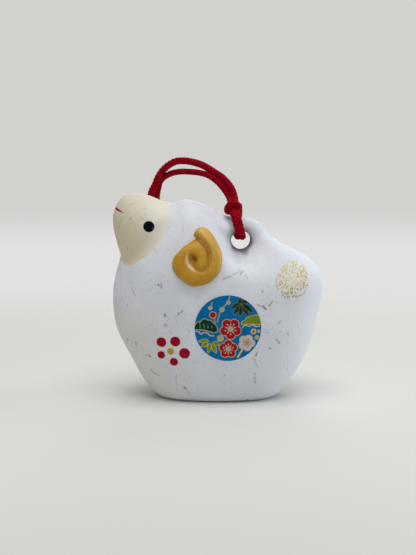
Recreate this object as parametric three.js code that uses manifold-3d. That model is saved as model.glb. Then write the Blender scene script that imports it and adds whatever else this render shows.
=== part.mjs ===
// Clay bell in the shape of a sheep: two pressed halves, a loose pellet, horns laid on in relief,
// paper roundels and a cord hitched through the back.
// Millimetres. The nose is toward -X, the side with the shown horn toward -Y, and +Z is up from the foot.

import * as THREE from 'three';
import { mergeVertices } from 'three/addons/utils/BufferGeometryUtils.js';
import Module from 'manifold-3d';

const wasm = await Module();
wasm.setup();

// Sizes of the clay body
const BODY_LENGTH = 75;
const BODY_HEIGHT = 72.6;
const BODY_WIDTH = 45;
const HEAD_WIDTH = 29;
const WALL = 4.5;
const FLOOR = 4.5;
const FOOT_ROUNDING = 6;
const NECK_SOFTNESS = 2.5;
const CAVITY_SOFTNESS = 5;
const BELLY_HOLLOW = 1.2;
const BELLY_REACH = 11;
const BELLY_RISE = 13;

// Fullness of the rounded forms: 2 is an ellipse, and more is squarer
const WOOL_FULLNESS = 2.3;
const HEAD_FULLNESS = 2.2;

// Cord hole in the back, between two thumb dents
const HOLE_DIAMETER = 7.5;
const BRIDGE_WIDTH = 17.2;
const DENT_RADIUS = 8.5;
const DENT_SOFTNESS = 3;
const LIP_RADIUS = 2.5;

// Sound slit in the foot, and the pellet that lies across it
const SLIT_LENGTH = 30;
const SLIT_WIDTH = 5;
const PELLET_DIAMETER = 11.5;

// Pieces laid on the clay
const HORN_HEIGHT = 20;
const HORN_RELIEF = 2.3;
const HORN_EDGE = 0.7;
const ROUNDEL_DIAMETER = 22.6;
const PAPER_THICKNESS = 0.3;
const SEAT_GAP = 0.35;

// Cord
const CORD_DIAMETER = 2;
const KNOT_RADIUS = 2.1;
const KNOTTED_CORD_DIAMETER = 1.8;

// Fineness of the facets
const OUTSIDE_STEPS = { around: 96, across: 15 };
const CAVITY_STEPS = { around: 40, across: 14 };
const HORN_STEPS = { around: 48, across: 8 };
const ROUNDEL_STEPS = { around: 36, across: 3 };
const CORD_SIDES = 8;

// A place on the middle plane, as shares of the body's length from its middle and of its height
function at(along, up) {
  return new THREE.Vector2(along * BODY_LENGTH, up * BODY_HEIGHT);
}

const WOOL_CENTRE = at(0, 0.455);
const HEAD_CENTRE = at(-0.347, 0.826);
const CAST_CENTRE = at(-0.08, 0.55);
const CAVITY_CENTRE = at(0, 0.38);
const HOLE_PLACE = at(0.109, 0.767);
const HORN_PLACE = at(-0.092, 0.705);
const ROUNDEL_PLACE = at(0.044, 0.377);
const BELLY_PLACE = at(-0.01, 0);

// Side view of the wool from its crest to the rump, under the foot, up the chest and behind the face
const WOOL_OUTLINE = [
  at(-0.152, 0.971), at(-0.051, 0.937), at(0.035, 0.888), at(0.12, 0.881), at(0.187, 0.865),
  at(0.231, 0.813), at(0.307, 0.752), at(0.376, 0.717), at(0.445, 0.673), at(0.488, 0.614),
  at(0.5, 0.539), at(0.477, 0.405), at(0.432, 0.234), at(0.339, 0.062), at(0.187, -0.096),
  at(0, -0.145), at(-0.187, -0.096), at(-0.328, 0.043), at(-0.421, 0.207), at(-0.48, 0.332),
  at(-0.5, 0.486), at(-0.481, 0.627), at(-0.427, 0.758), at(-0.32, 0.882), at(-0.227, 0.942),
];

// Side view of the head from the brow over the nose and down to the chin, then on inside the wool
const HEAD_OUTLINE = [
  at(-0.235, 0.947), at(-0.331, 0.989), at(-0.389, 1), at(-0.44, 0.989), at(-0.475, 0.95),
  at(-0.497, 0.879), at(-0.487, 0.789), at(-0.464, 0.705), at(-0.42, 0.657), at(-0.347, 0.654),
  at(-0.227, 0.702), at(-0.167, 0.826), at(-0.173, 0.916),
];

// Horn seen from the side, as shares of its height: middle of the coil and its half width, from the
// blunt tip round the outer turn and in to the hollow
const HORN_COIL = new THREE.CatmullRomCurve3([
  [0.035, 0.42, 0.1], [0.15, 0.345, 0.11], [0.265, 0.175, 0.1], [0.305, -0.01, 0.11],
  [0.275, -0.185, 0.11], [0.13, -0.335, 0.105], [-0.04, -0.35, 0.12], [-0.21, -0.25, 0.135],
  [-0.305, -0.09, 0.12], [-0.285, 0.04, 0.1], [-0.185, 0.14, 0.08], [-0.04, 0.205, 0.085],
  [0.07, 0.135, 0.08], [0.12, -0.025, 0.075], [0.065, -0.15, 0.065], [-0.025, -0.16, 0.055],
].map((mark) => new THREE.Vector3(...mark).multiplyScalar(HORN_HEIGHT)));
const HORN_BEADS = HORN_COIL.getSpacedPoints(70);

// Smooth joins of two distances
function softMin(a, b, softness) {
  const overlap = Math.max(softness - Math.abs(a - b), 0);
  return Math.min(a, b) - overlap * overlap / (4 * softness);
}

function softMax(a, b, softness) {
  return -softMin(-a, -b, softness);
}

// Reach of a closed outline from its centre, as a smooth function of the bearing
function outlineReach(centre, outline) {
  const marks = outline.map((point) => {
    const arm = point.clone().sub(centre);
    return { bearing: Math.atan2(arm.y, arm.x), reach: arm.length() };
  });
  marks.sort((a, b) => a.bearing - b.bearing);
  const mark = (index) => {
    const lap = Math.floor(index / marks.length);
    const { bearing, reach } = marks[index - lap * marks.length];
    return { bearing: bearing + lap * 2 * Math.PI, reach };
  };
  const slope = (index) => {
    const before = mark(index - 1);
    const after = mark(index + 1);
    return (after.reach - before.reach) / (after.bearing - before.bearing);
  };
  return (bearing) => {
    const index = marks.findLastIndex((entry) => entry.bearing <= bearing);
    const low = mark(index);
    const high = mark(index + 1);
    const gap = high.bearing - low.bearing;
    const t = (bearing - low.bearing) / gap;
    const rise = (slope(index) * (1 - t) - slope(index + 1) * t) * gap * t * (1 - t);
    const swing = (2 * t - 1) * t * (1 - t);
    return low.reach * (1 - t) + high.reach * t + rise + (low.reach - high.reach) * swing;
  };
}

// Rounded form with a given side view: distance from its skin, less than zero inside
function lobe(centre, outline, halfWidth, fullness) {
  const reach = outlineReach(centre, outline);
  return (point) => {
    const along = point.x - centre.x;
    const up = point.z - centre.y;
    const flat = Math.hypot(along, up);
    const length = Math.hypot(flat, point.y);
    const across = flat / length / reach(Math.atan2(up, along));
    const aside = Math.abs(point.y) / length / halfWidth;
    return length - (across ** fullness + aside ** fullness) ** (-1 / fullness);
  };
}

const wool = lobe(WOOL_CENTRE, WOOL_OUTLINE, BODY_WIDTH / 2, WOOL_FULLNESS);
const head = lobe(HEAD_CENTRE, HEAD_OUTLINE, HEAD_WIDTH / 2, HEAD_FULLNESS);

// Ball that presses a thumb dent beside the cord hole, on both sides alike
function dent(point) {
  const aside = Math.abs(point.y) - BRIDGE_WIDTH / 2 - DENT_RADIUS;
  return DENT_RADIUS - Math.hypot(point.x - HOLE_PLACE.x, aside, point.z - HOLE_PLACE.y);
}

// Shallow hollow of the belly between fore and hind legs, fading upward
function bellyHollow(point) {
  const along = (point.x - BELLY_PLACE.x) / BELLY_REACH;
  const up = Math.max(point.z, 0) / BELLY_RISE;
  return BELLY_HOLLOW * Math.exp(-(along ** 2) - up ** 2);
}

function bodyDistance(point) {
  const form = softMin(wool(point), head(point), NECK_SOFTNESS) + bellyHollow(point);
  return softMax(softMax(form, dent(point), DENT_SOFTNESS), -point.z, FOOT_ROUNDING);
}

// The chamber keeps a wall's thickness inside the wool, over the floor and under the cord hole
function cavityDistance(point) {
  const walls = softMax(wool(point), dent(point), DENT_SOFTNESS) + WALL;
  const ceiling = point.z - (HOLE_PLACE.y - HOLE_DIAMETER / 2 - WALL);
  return softMax(softMax(walls, FLOOR - point.z, CAVITY_SOFTNESS), ceiling, CAVITY_SOFTNESS);
}

// Point where a ray leaves a form
function cast(start, direction, distance) {
  let inside = 0;
  let outside = BODY_LENGTH;
  const point = new THREE.Vector3();
  for (let step = 0; step < 40; step += 1) {
    const middle = (inside + outside) / 2;
    point.copy(start).addScaledVector(direction, middle);
    if (distance(point) < 0) {
      inside = middle;
    } else {
      outside = middle;
    }
  }
  return point;
}

// Point over the shown side of the body, lifted off the clay along its normal
function overSkin(place, lift) {
  const skin = cast(new THREE.Vector3(place.x, 0, place.y), new THREE.Vector3(0, -1, 0), bodyDistance);
  const normal = new THREE.Vector3();
  for (const axis of ['x', 'y', 'z']) {
    const ahead = skin.clone();
    const behind = skin.clone();
    ahead[axis] += 0.05;
    behind[axis] -= 0.05;
    normal[axis] = bodyDistance(ahead) - bodyDistance(behind);
  }
  return skin.addScaledVector(normal.normalize(), lift);
}

// Closed three.js geometry as a manifold solid, facing outward
function solid(geometry) {
  geometry.deleteAttribute('normal');
  geometry.deleteAttribute('uv');
  const merged = mergeVertices(geometry, 1e-4);
  const places = merged.attributes.position.array;
  const corner = (index) => new THREE.Vector3().fromArray(places, 3 * index);
  const faces = [];
  let volume = 0;
  for (let i = 0; i < merged.index.count; i += 3) {
    const [a, b, c] = [0, 1, 2].map((k) => merged.index.getX(i + k));
    if (a !== b && b !== c && c !== a) {
      faces.push([a, b, c]);
      volume += corner(a).dot(corner(b).cross(corner(c)));
    }
  }
  const outward = volume > 0 ? faces : faces.map(([a, b, c]) => [a, c, b]);
  return new wasm.Manifold(new wasm.Mesh({
    numProp: 3,
    vertProperties: Float32Array.from(places),
    triVerts: Uint32Array.from(outward.flat()),
  }));
}

// Named mesh of a solid
function piece(name, form, material) {
  const mesh = form.getMesh();
  const geometry = new THREE.BufferGeometry();
  geometry.setAttribute('position', new THREE.BufferAttribute(Float32Array.from(mesh.vertProperties), 3));
  geometry.setIndex(Array.from(mesh.triVerts));
  geometry.computeVertexNormals();
  const result = new THREE.Mesh(geometry, material);
  result.name = name;
  return result;
}

// Turned blank whose points are pressed to new places
function pressed(profile, around, place) {
  const blank = new THREE.LatheGeometry(profile, around);
  const position = blank.attributes.position;
  for (let i = 0; i < position.count; i += 1) {
    const point = place(new THREE.Vector3().fromBufferAttribute(position, i));
    position.setXYZ(i, point.x, point.y, point.z);
  }
  return solid(blank);
}

// Arc of a turned profile, as points from one angle to another in degrees
function arc(x, y, radius, from, to, steps) {
  return Array.from({ length: steps + 1 }, (_, i) => {
    const angle = THREE.MathUtils.degToRad(from + (to - from) * i / steps);
    return new THREE.Vector2(x + radius * Math.cos(angle), y + radius * Math.sin(angle));
  });
}

// Ball blank cast out from a centre to a form; each direction of the blank becomes a point of the skin
function castForm(profile, around, centre, distance) {
  const start = new THREE.Vector3(centre.x, 0, centre.y);
  return pressed(profile, around, (point) => (
    point.length() < 1e-6 ? start.clone() : cast(start, point.normalize(), distance)
  ));
}

function halfOutside() {
  const bowl = arc(0, 0, 1, -90, 0, OUTSIDE_STEPS.across);
  bowl[0].x = 0;
  return castForm([...bowl, new THREE.Vector2(0, 0)], OUTSIDE_STEPS.around, CAST_CENTRE, bodyDistance);
}

function cavity() {
  const ball = arc(0, 0, 1, -90, 90, CAVITY_STEPS.across);
  ball[0].x = 0;
  ball.at(-1).x = 0;
  return castForm(ball, CAVITY_STEPS.around, CAVITY_CENTRE, cavityDistance);
}

// Cord hole with rounded lips that run out into the dents
function holeCut() {
  const radius = HOLE_DIAMETER / 2;
  const dentMiddle = BRIDGE_WIDTH / 2 + DENT_RADIUS;
  const lipOut = radius + LIP_RADIUS;
  const lipMiddle = dentMiddle - Math.sqrt((DENT_RADIUS + LIP_RADIUS) ** 2 - lipOut ** 2);
  const turn = THREE.MathUtils.radToDeg(Math.acos(lipOut / (DENT_RADIUS + LIP_RADIUS)));
  const lip = arc(lipOut, lipMiddle, LIP_RADIUS, 180, 180 - turn, 5);
  const end = new THREE.Vector2(lip.at(-1).x, dentMiddle);
  const half = [...lip, end, new THREE.Vector2(0, dentMiddle)];
  const mirrored = half.map((point) => new THREE.Vector2(point.x, -point.y)).reverse();
  const cut = new THREE.LatheGeometry([...mirrored, ...half], 24);
  cut.translate(HOLE_PLACE.x, 0, HOLE_PLACE.y);
  return solid(cut);
}

function slitCut() {
  const half = SLIT_LENGTH / 2 - SLIT_WIDTH / 2;
  const outline = new THREE.Shape([
    ...arc(half, 0, SLIT_WIDTH / 2, -90, 90, 8),
    ...arc(-half, 0, SLIT_WIDTH / 2, 90, 270, 8),
  ]);
  const cut = new THREE.ExtrudeGeometry(outline, { depth: 2 * FLOOR, bevelEnabled: false });
  cut.translate(0, 0, -FLOOR / 2);
  return solid(cut);
}

function nearShell() {
  return halfOutside().subtract(cavity()).subtract(holeCut()).subtract(slitCut());
}

// The pellet rests on both edges of the slit
function pellet() {
  const radius = PELLET_DIAMETER / 2;
  const ball = new THREE.SphereGeometry(radius, 18, 12);
  const drop = Math.sqrt((radius + SEAT_GAP) ** 2 - (SLIT_WIDTH / 2) ** 2);
  ball.translate(0, 0, FLOOR + drop);
  return solid(ball);
}

// How far the horn reaches from its middle on one bearing: the outermost bead of the coil there
function hornReach(bearing) {
  const ray = new THREE.Vector2(Math.cos(bearing), Math.sin(bearing));
  return Math.max(...HORN_BEADS.map((bead) => {
    const along = bead.x * ray.x + bead.y * ray.y;
    const aside = bead.x * ray.y - bead.y * ray.x;
    const missed = Math.abs(aside) > bead.z;
    return missed ? 0 : along + Math.sqrt(bead.z ** 2 - aside ** 2);
  }));
}

// Height of the horn's relief over its edge: the highest of the coil's beads at that place
function hornRelief(place) {
  const crown = Math.max(...HORN_BEADS.map((bead) => (
    Math.sqrt(Math.max(bead.z ** 2 - (place.x - bead.x) ** 2 - (place.y - bead.y) ** 2, 0))
  )));
  const widest = Math.max(...HORN_BEADS.map((bead) => bead.z));
  return HORN_EDGE + (HORN_RELIEF - HORN_EDGE) * crown / widest;
}

// Flat turned blank with a top and an underside, one unit in radius
function disc(across) {
  const rings = Array.from({ length: across + 1 }, (_, i) => i / across);
  const under = rings.map((ring) => new THREE.Vector2(ring, 0));
  const top = rings.map((ring) => new THREE.Vector2(ring, 1)).reverse();
  return [...under, ...top];
}

function nearHorn() {
  return pressed(disc(HORN_STEPS.across), HORN_STEPS.around, (point) => {
    const bearing = Math.atan2(point.z, point.x);
    const reach = Math.hypot(point.x, point.z) * hornReach(bearing);
    const place = new THREE.Vector2(Math.cos(bearing), Math.sin(bearing)).multiplyScalar(reach);
    const relief = hornRelief(place);
    return overSkin(place.add(HORN_PLACE), SEAT_GAP + point.y * relief);
  });
}

function nearRoundel() {
  return pressed(disc(ROUNDEL_STEPS.across), ROUNDEL_STEPS.around, (point) => {
    const arm = new THREE.Vector2(point.x, point.z).multiplyScalar(ROUNDEL_DIAMETER / 2);
    return overSkin(arm.add(ROUNDEL_PLACE), SEAT_GAP + point.y * PAPER_THICKNESS);
  });
}

// Route of the cord. It comes down behind the bar, into the hole, up the far side and over the ridge.
const OUTER_LEG = [
  [5.35, -2.8, 71.4], [5.5, -3.4, 70.2], [5.9, -5.1, 68.7], [6.2, -7.4, 67.2], [6.6, -9.8, 65.6],
  [7, -11.5, 63.6], [7.6, -12.1, 61.3], [8.3, -11, 59.1], [8.75, -8.2, 57.9], [8.8, 0, 57.8],
  [8.75, 8.2, 57.9], [8.5, 11, 59.1], [8.1, 12.1, 61.3], [7.9, 11.1, 64], [7.8, 8.2, 66.4],
  [7.6, 4, 67.7], [7.4, 0, 67.9], [7.3, -3.4, 67.5], [7.2, -5.9, 66.9],
];
const INNER_LEG = [
  [3.3, -1.3, 71.6], [3.8, -2.2, 70.5], [4.6, -4.5, 68.9], [5.1, -7.2, 67.3], [5.6, -9.8, 65.6],
  [6, -11.5, 63.6], [6.5, -12.1, 61.3], [6.8, -11, 59], [6.95, -8.2, 57.75], [7, 0, 57.65],
  [6.95, 8.2, 57.75], [6.7, 11, 59], [6.4, 12.1, 61.3], [5.9, 11.1, 64], [5.1, 8.2, 66.1],
  [4.3, 4, 67.2], [3.7, 0, 67.4], [3.5, -3.4, 67.1], [3.5, -5.6, 66.6],
];
const BAR = [
  [7.3, -5.3, 65.6], [7.3, -6.4, 66.8], [6.9, -7.8, 68.4], [5.4, -8.3, 69.3],
  [3.9, -7.6, 68.4], [3.5, -6.2, 66.8], [3.5, -5.1, 65.5],
];
const OUTER_STRAND = [
  [5.25, -2.6, 71.95], [4.4, -1.4, 74.5], [1.9, 0, 77.6], [-1.3, 1.2, 80], [-5.4, 2.7, 82.4],
  [-9.2, 3.9, 83.6], [-12, 4.8, 84], [-15, 5.7, 83.8], [-17.6, 6.4, 82.5], [-19.8, 7, 80.6],
  [-21.5, 7.4, 78.1], [-22.7, 8.1, 75.3], [-23.9, 9.4, 73.1], [-24.6, 11.1, 70.8],
  [-25.1, 13, 68.6], [-25.2, 15.1, 66.8], [-25, 16.3, 65.8],
];
const INNER_STRAND = [
  [2.95, -0.9, 72.1], [1.4, -0.2, 74.2], [-1, 0.5, 76.9], [-3.7, 1.6, 78.7], [-6.4, 2.7, 79.8],
  [-10.3, 4.1, 80.4], [-13.6, 5.3, 80.3], [-16.4, 6.8, 79.5], [-19, 8.4, 78.1], [-20.7, 9.6, 76.5],
  [-21.6, 10.7, 74.2], [-22.1, 11.6, 72], [-22.3, 12.6, 70], [-22.4, 14, 68.2], [-22.5, 15.6, 66.7],
  [-22.6, 16.7, 65.8],
];
const KNOT_PLACE = [-23.8, 16.6, 61.5];
const OUTER_END = [[-24.5, 17, 59.6], [-25, 17.1, 57.6], [-25.7, 17.1, 55.4], [-26.2, 17, 53]];
const INNER_END = [[-23.2, 17.1, 59.6], [-22.9, 17.4, 57.6], [-22.5, 17.8, 55.6], [-22.3, 18.2, 53.8]];

function cordCurve(points) {
  return new THREE.CatmullRomCurve3(points.map((point) => new THREE.Vector3(...point)));
}

function cordTube(points) {
  const section = new THREE.Shape(arc(0, 0, CORD_DIAMETER / 2, 0, 360 - 360 / CORD_SIDES, CORD_SIDES - 1));
  const path = cordCurve(points);
  const steps = Math.ceil(path.getLength() / (1.2 * CORD_DIAMETER));
  return solid(new THREE.ExtrudeGeometry(section, { steps, extrudePath: path }));
}

function cordHitch() {
  return cordTube(OUTER_LEG).add(cordTube(BAR)).add(cordTube(INNER_LEG));
}

// Overhand knot that ties the two ends: a trefoil of the same cord, with the cut ends hanging below it
function cordEndKnot() {
  const trefoil = new THREE.TorusKnotGeometry(KNOT_RADIUS, KNOTTED_CORD_DIAMETER / 2, 44, CORD_SIDES, 2, 3);
  trefoil.rotateX(Math.PI / 2);
  trefoil.translate(...KNOT_PLACE);
  return solid(trefoil).add(cordTube(OUTER_END)).add(cordTube(INNER_END));
}

const materials = {
  clay: new THREE.MeshStandardMaterial({ color: 0xdcdfe6, roughness: 0.85, metalness: 0 }),
  rawClay: new THREE.MeshStandardMaterial({ color: 0xb9a48a, roughness: 0.95, metalness: 0 }),
  gold: new THREE.MeshStandardMaterial({ color: 0xb18b3d, roughness: 0.55, metalness: 0.3 }),
  paper: new THREE.MeshStandardMaterial({ color: 0x1c5c7b, roughness: 0.8, metalness: 0 }),
  cord: new THREE.MeshStandardMaterial({ color: 0x9a0a22, roughness: 0.7, metalness: 0 }),
};

const shell = nearShell();
const horn = nearHorn();
const roundel = nearRoundel();
const acrossMiddle = [0, 1, 0];

const bell = new THREE.Group();
bell.add(
  piece('near_shell', shell, materials.clay),
  piece('far_shell', shell.mirror(acrossMiddle), materials.clay),
  piece('pellet', pellet(), materials.rawClay),
  piece('near_horn', horn, materials.gold),
  piece('far_horn', horn.mirror(acrossMiddle), materials.gold),
  piece('near_roundel', roundel, materials.paper),
  piece('far_roundel', roundel.mirror(acrossMiddle), materials.paper),
  piece('cord_hitch', cordHitch(), materials.cord),
  piece('cord_strand_outer', cordTube(OUTER_STRAND), materials.cord),
  piece('cord_strand_inner', cordTube(INNER_STRAND), materials.cord),
  piece('cord_end_knot', cordEndKnot(), materials.cord),
);

export default bell;
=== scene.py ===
# Looks of the sheep-shaped clay bell: painted clay halves round a loose pellet, gilt horns, printed paper
# roundels and a braided cord.
# Metres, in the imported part's frame: nose toward -X, shown side toward -Y, +Z up from the flat foot.

import math

import bmesh
import bpy
import numpy as np
from mathutils import Matrix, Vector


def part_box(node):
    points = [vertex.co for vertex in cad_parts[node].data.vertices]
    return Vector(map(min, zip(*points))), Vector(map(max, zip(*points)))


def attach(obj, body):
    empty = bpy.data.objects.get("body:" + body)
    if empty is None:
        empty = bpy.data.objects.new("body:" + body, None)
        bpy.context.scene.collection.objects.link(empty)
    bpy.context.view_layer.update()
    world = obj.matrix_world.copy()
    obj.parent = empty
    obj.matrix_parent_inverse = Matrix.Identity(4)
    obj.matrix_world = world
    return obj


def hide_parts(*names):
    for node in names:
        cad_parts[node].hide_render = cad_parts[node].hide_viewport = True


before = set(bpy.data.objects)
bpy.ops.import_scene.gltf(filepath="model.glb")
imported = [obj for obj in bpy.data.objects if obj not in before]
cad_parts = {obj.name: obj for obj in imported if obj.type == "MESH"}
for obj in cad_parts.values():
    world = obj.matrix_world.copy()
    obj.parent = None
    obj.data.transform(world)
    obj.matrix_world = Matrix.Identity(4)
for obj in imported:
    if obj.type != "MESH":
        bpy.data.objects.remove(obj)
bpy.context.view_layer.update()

MM = 0.001
TURN = 2 * math.pi
TINY = 1e-9

# Sizes of the clay body
BODY_LENGTH = 75 * MM
BODY_HEIGHT = 72.6 * MM
BODY_WIDTH = 45 * MM
HEAD_WIDTH = 29 * MM
WALL = 4.5 * MM
FLOOR = 4.5 * MM
FOOT_ROUNDING = 2.6 * MM
NECK_SOFTNESS = 2.5 * MM
CAVITY_SOFTNESS = 5 * MM
BARE_DEPTH = 1.2 * MM
BELLY_HOLLOW = 1.2 * MM
BELLY_REACH = 13 * MM
BELLY_RISE = 13 * MM
WOOL_FULLNESS = 2.3
HEAD_FULLNESS = 2.2
CHIN_STEP = 0.4 * MM
CHIN_SLOPE = 0.9 * MM
CHIN_RANGE = (40 * MM, 62 * MM)
CHIN_FADE = 9 * MM
CHEEK_FADE = 4 * MM
THROAT_END = -12 * MM

# Swells left by hand work: their height, and their lengths in millimetres along, aside and up
HAND_UNEVENNESS = 0.04 * MM
SLANT_ALONG = 9.7
SLANT_UP = 7.9
ROLL_ALONG = 15.1
ROLL_ASIDE = 8.3
ROLL_UP = 11.3

# Cord hole in the back, with a thumb dent that is steeper toward head and foot, and sound slit in the foot
HOLE_RADIUS = 3.75 * MM
BRIDGE_WIDTH = 17.2 * MM
DENT_RADIUS = 8.5 * MM
DENT_SOFTNESS = 8 * MM
DENT_SHIFT = 1 * MM
DENT_LEAN = (1.45, 1.15)
LIP_SOFTNESS = 2.6 * MM
HOLE_PINCH = 0.35 * MM
SLIT_LENGTH = 30 * MM
SLIT_WIDTH = 5 * MM
SLIT_DEPTH = 1.5 * FLOOR
SLIT_SOFTNESS = 0.9 * MM

# Pieces on and in the clay. The pellet's swell has lengths in millimetres, and a share of the radius.
PELLET_RADIUS = 5.75 * MM
PELLET_SWELL = (1.9, 1.5, 2.3)
PELLET_UNEVENNESS = 0.012
HORN_HEIGHT = 20 * MM
HORN_RELIEF = 2.5 * MM
HORN_ROUNDING = 3.4 * MM
HORN_FULLNESS = 2.4
HORN_SINK = 0.2 * MM
HORN_BED = 3 * HORN_SINK
GROOVE_DEPTH = 1.2 * MM
GROOVE_WIDTH = 0.75 * MM
HIGHLIGHT_WIDTH = 0.5 * MM
PIT_DEPTH = 0.7 * MM
PIT_WIDTH = 1.2 * MM
ROUNDEL_RADIUS = 11.3 * MM
PAPER_THICKNESS = 0.16 * MM
PASTE_DEPTH = 0.1 * MM

# Cord: eight yarns braided round a core
CORD_LAY = 5.4 * MM
YARN_RADIUS = 0.95 * MM
YARN_WEAVE = 0.1 * MM
YARN_HALF_WIDTH = 0.58 * MM
YARN_HALF_THICKNESS = 0.3 * MM
CORE_RADIUS = 0.78 * MM
INNER_GIRTH = 0.86
THINNING_LENGTH = 12 * MM
KNOT_RADIUS = 2.1 * MM

# Fineness of the meshes and the ways to them
CLAY_GRAIN = 0.45 * MM
BLANK_FINENESS = 6
CHAMBER_FINENESS = 5
SLOPE_STEP = 0.02 * MM
CAST_HALVINGS = 30
SMOOTHING_ROUNDS = 2
SETTLING_ROUNDS = 4
SETTLING_STEP = 0.4 * MM
LEAST_SLOPE = 0.2
PARTING_SNAP = 0.12 * MM
MERGE_REACH = 1e-7
OUTLINE_STEP = 0.4 * MM
BEARINGS = 1440
EASING = 8
EASING_ROUNDS = 3
FACE_EDGE_STEP = 0.8 * MM
ROUTE_STEPS = 16
CORD_STEP = CORD_LAY / 16
YARN_SIDES = 8
KNOT_STEPS = 90
HOLE_SIDES = 32
HORN_STEPS = 140
HORN_GRID = 0.55 * HORN_HEIGHT
HORN_LINE_STEP = HORN_HEIGHT / 60
PAPER_STEPS = 150
PELLET_FINENESS = 5


def at(along, up):
    """A place on the middle plane, as shares of the body's length from its middle and of its height."""
    return np.array((along * BODY_LENGTH, up * BODY_HEIGHT))


WOOL_CENTRE = at(0, 0.455)
HEAD_CENTRE = at(-0.347, 0.826)
CAST_CENTRE = at(-0.08, 0.55)
CAVITY_CENTRE = at(0, 0.38)
HOLE_PLACE = at(0.109, 0.767)
HORN_PLACE = at(-0.092, 0.705)
ROUNDEL_PLACE = at(0.044, 0.377)
BELLY_PLACE = at(-0.01, 0)

# Side view of the wool from its crest to the rump, under the foot, up the chest and behind the face
WOOL_OUTLINE = [
    at(-0.152, 0.971), at(-0.051, 0.937), at(0.035, 0.888), at(0.12, 0.881), at(0.187, 0.865),
    at(0.231, 0.813), at(0.307, 0.752), at(0.376, 0.717), at(0.445, 0.673), at(0.488, 0.614),
    at(0.5, 0.539), at(0.477, 0.405), at(0.432, 0.234), at(0.339, 0.062), at(0.187, -0.096),
    at(0, -0.145), at(-0.187, -0.096), at(-0.328, 0.043), at(-0.421, 0.207), at(-0.48, 0.332),
    at(-0.5, 0.486), at(-0.481, 0.627), at(-0.427, 0.758), at(-0.32, 0.882), at(-0.227, 0.942),
]

# Side view of the head from the brow over the nose and down to the chin, then on inside the wool
HEAD_OUTLINE = [
    at(-0.235, 0.947), at(-0.331, 0.989), at(-0.389, 1), at(-0.44, 0.989), at(-0.475, 0.95),
    at(-0.497, 0.879), at(-0.487, 0.789), at(-0.464, 0.705), at(-0.42, 0.657), at(-0.347, 0.654),
    at(-0.227, 0.702), at(-0.167, 0.826), at(-0.173, 0.916),
]

# Edge of the painted face, from over the crown down behind the cheek to the throat
FACE_EDGE = [
    at(-0.217, 1.2), at(-0.22, 1.02), at(-0.222, 0.952), at(-0.228, 0.919), at(-0.233, 0.839),
    at(-0.249, 0.795), at(-0.275, 0.76), at(-0.324, 0.709), at(-0.373, 0.674), at(-0.405, 0.656),
    at(-0.433, 0.658), at(-0.457, 0.683), at(-0.6, 0.74),
]

# Horn seen from the side, as shares of its height: its outline from the notch over the blunt tip and
# round the coil, the groove that winds in from the notch to a pit, and a painted highlight beside it.
# Shares say how deep the groove is and how strong the painted highlight is, at stations along each.
HORN_OUTLINE = np.array([
    (-0.049, 0.324), (-0.068, 0.365), (-0.059, 0.418), (-0.02, 0.472), (0.035, 0.496), (0.108, 0.488),
    (0.19, 0.434), (0.264, 0.343), (0.348, 0.176), (0.4, 0.018), (0.405, -0.078), (0.378, -0.194),
    (0.303, -0.315), (0.188, -0.412), (0.036, -0.464), (-0.099, -0.471), (-0.2, -0.422), (-0.319, -0.337),
    (-0.405, -0.225), (-0.432, -0.105), (-0.406, 0), (-0.321, 0.097), (-0.227, 0.193), (-0.134, 0.248),
    (-0.049, 0.324),
])
HORN_GROOVE = np.array([
    (-0.049, 0.324), (0.035, 0.268), (0.118, 0.188), (0.168, 0.11), (0.184, 0), (0.168, -0.13),
    (0.105, -0.222), (0.018, -0.218), (-0.05, -0.16), (-0.1, -0.08), (-0.118, -0.005), (-0.09, 0.018),
    (-0.05, -0.035),
])
GROOVE_SHARES = ([0, 0.3, 0.45, 0.65, 0.85, 1], [1, 0.95, 0.45, 0.4, 0.7, 0.8])
HORN_HIGHLIGHT = np.array([(-0.175, 0.04), (-0.185, -0.03), (-0.152, -0.105), (-0.105, -0.165), (-0.055, -0.21)])
HIGHLIGHT_SHARES = ([0, 0.4, 0.65, 0.85, 1], [0.5, 0.6, 1, 0.7, 0.2])

# Route of the cord, in millimetres along, aside and up. A leg runs down behind the bar, into the hole, up
# the far side and over the ridge into the bar. A strand runs from its leg's top over to the end knot.
OUTER_LEG = np.array([
    (5.8, -2.8, 71.5), (6, -3.4, 70.2), (6.1, -5.1, 68.7), (6.2, -7.4, 67.2), (6.6, -9.8, 65.6),
    (7, -11.5, 63.6), (7.6, -12.1, 61.3), (8.1, -11, 59), (8.5, -8.2, 57.8), (8.7, 0, 57.6),
    (8.75, 8.2, 57.9), (8.5, 11, 59.1), (8.1, 12.1, 61.3), (7.9, 11.1, 64), (7.8, 8.2, 66.4),
    (7.6, 4, 67.7), (7.4, 0, 67.9), (7.3, -3.4, 67.5),
]) * MM
BAR = np.array([
    (7.25, -5.6, 66.75), (7.2, -7, 66.6), (7.1, -8, 67.4), (6.6, -8.5, 68.6), (5.4, -8.7, 69.3),
    (4.1, -8.4, 68.6), (3.6, -7.8, 67.3), (3.5, -6.8, 66.5), (3.5, -5.4, 66.6),
]) * MM
INNER_LEG = np.array([
    (3.9, -1.3, 71.7), (4.4, -2.2, 70.5), (4.8, -4.5, 68.9), (5.1, -7.2, 67.3), (5.6, -9.8, 65.6),
    (6, -11.5, 63.6), (6.6, -12, 61.6), (7.1, -10.8, 59.5), (7.1, -8.2, 58), (7, 0, 57.6),
    (6.95, 8.2, 57.75), (6.7, 11, 59), (6.4, 12.1, 61.3), (5.9, 11.1, 64), (5.1, 8.2, 66.1),
    (4.3, 4, 67.2), (3.7, 0, 67.4), (3.5, -3.4, 67.1),
]) * MM
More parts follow.
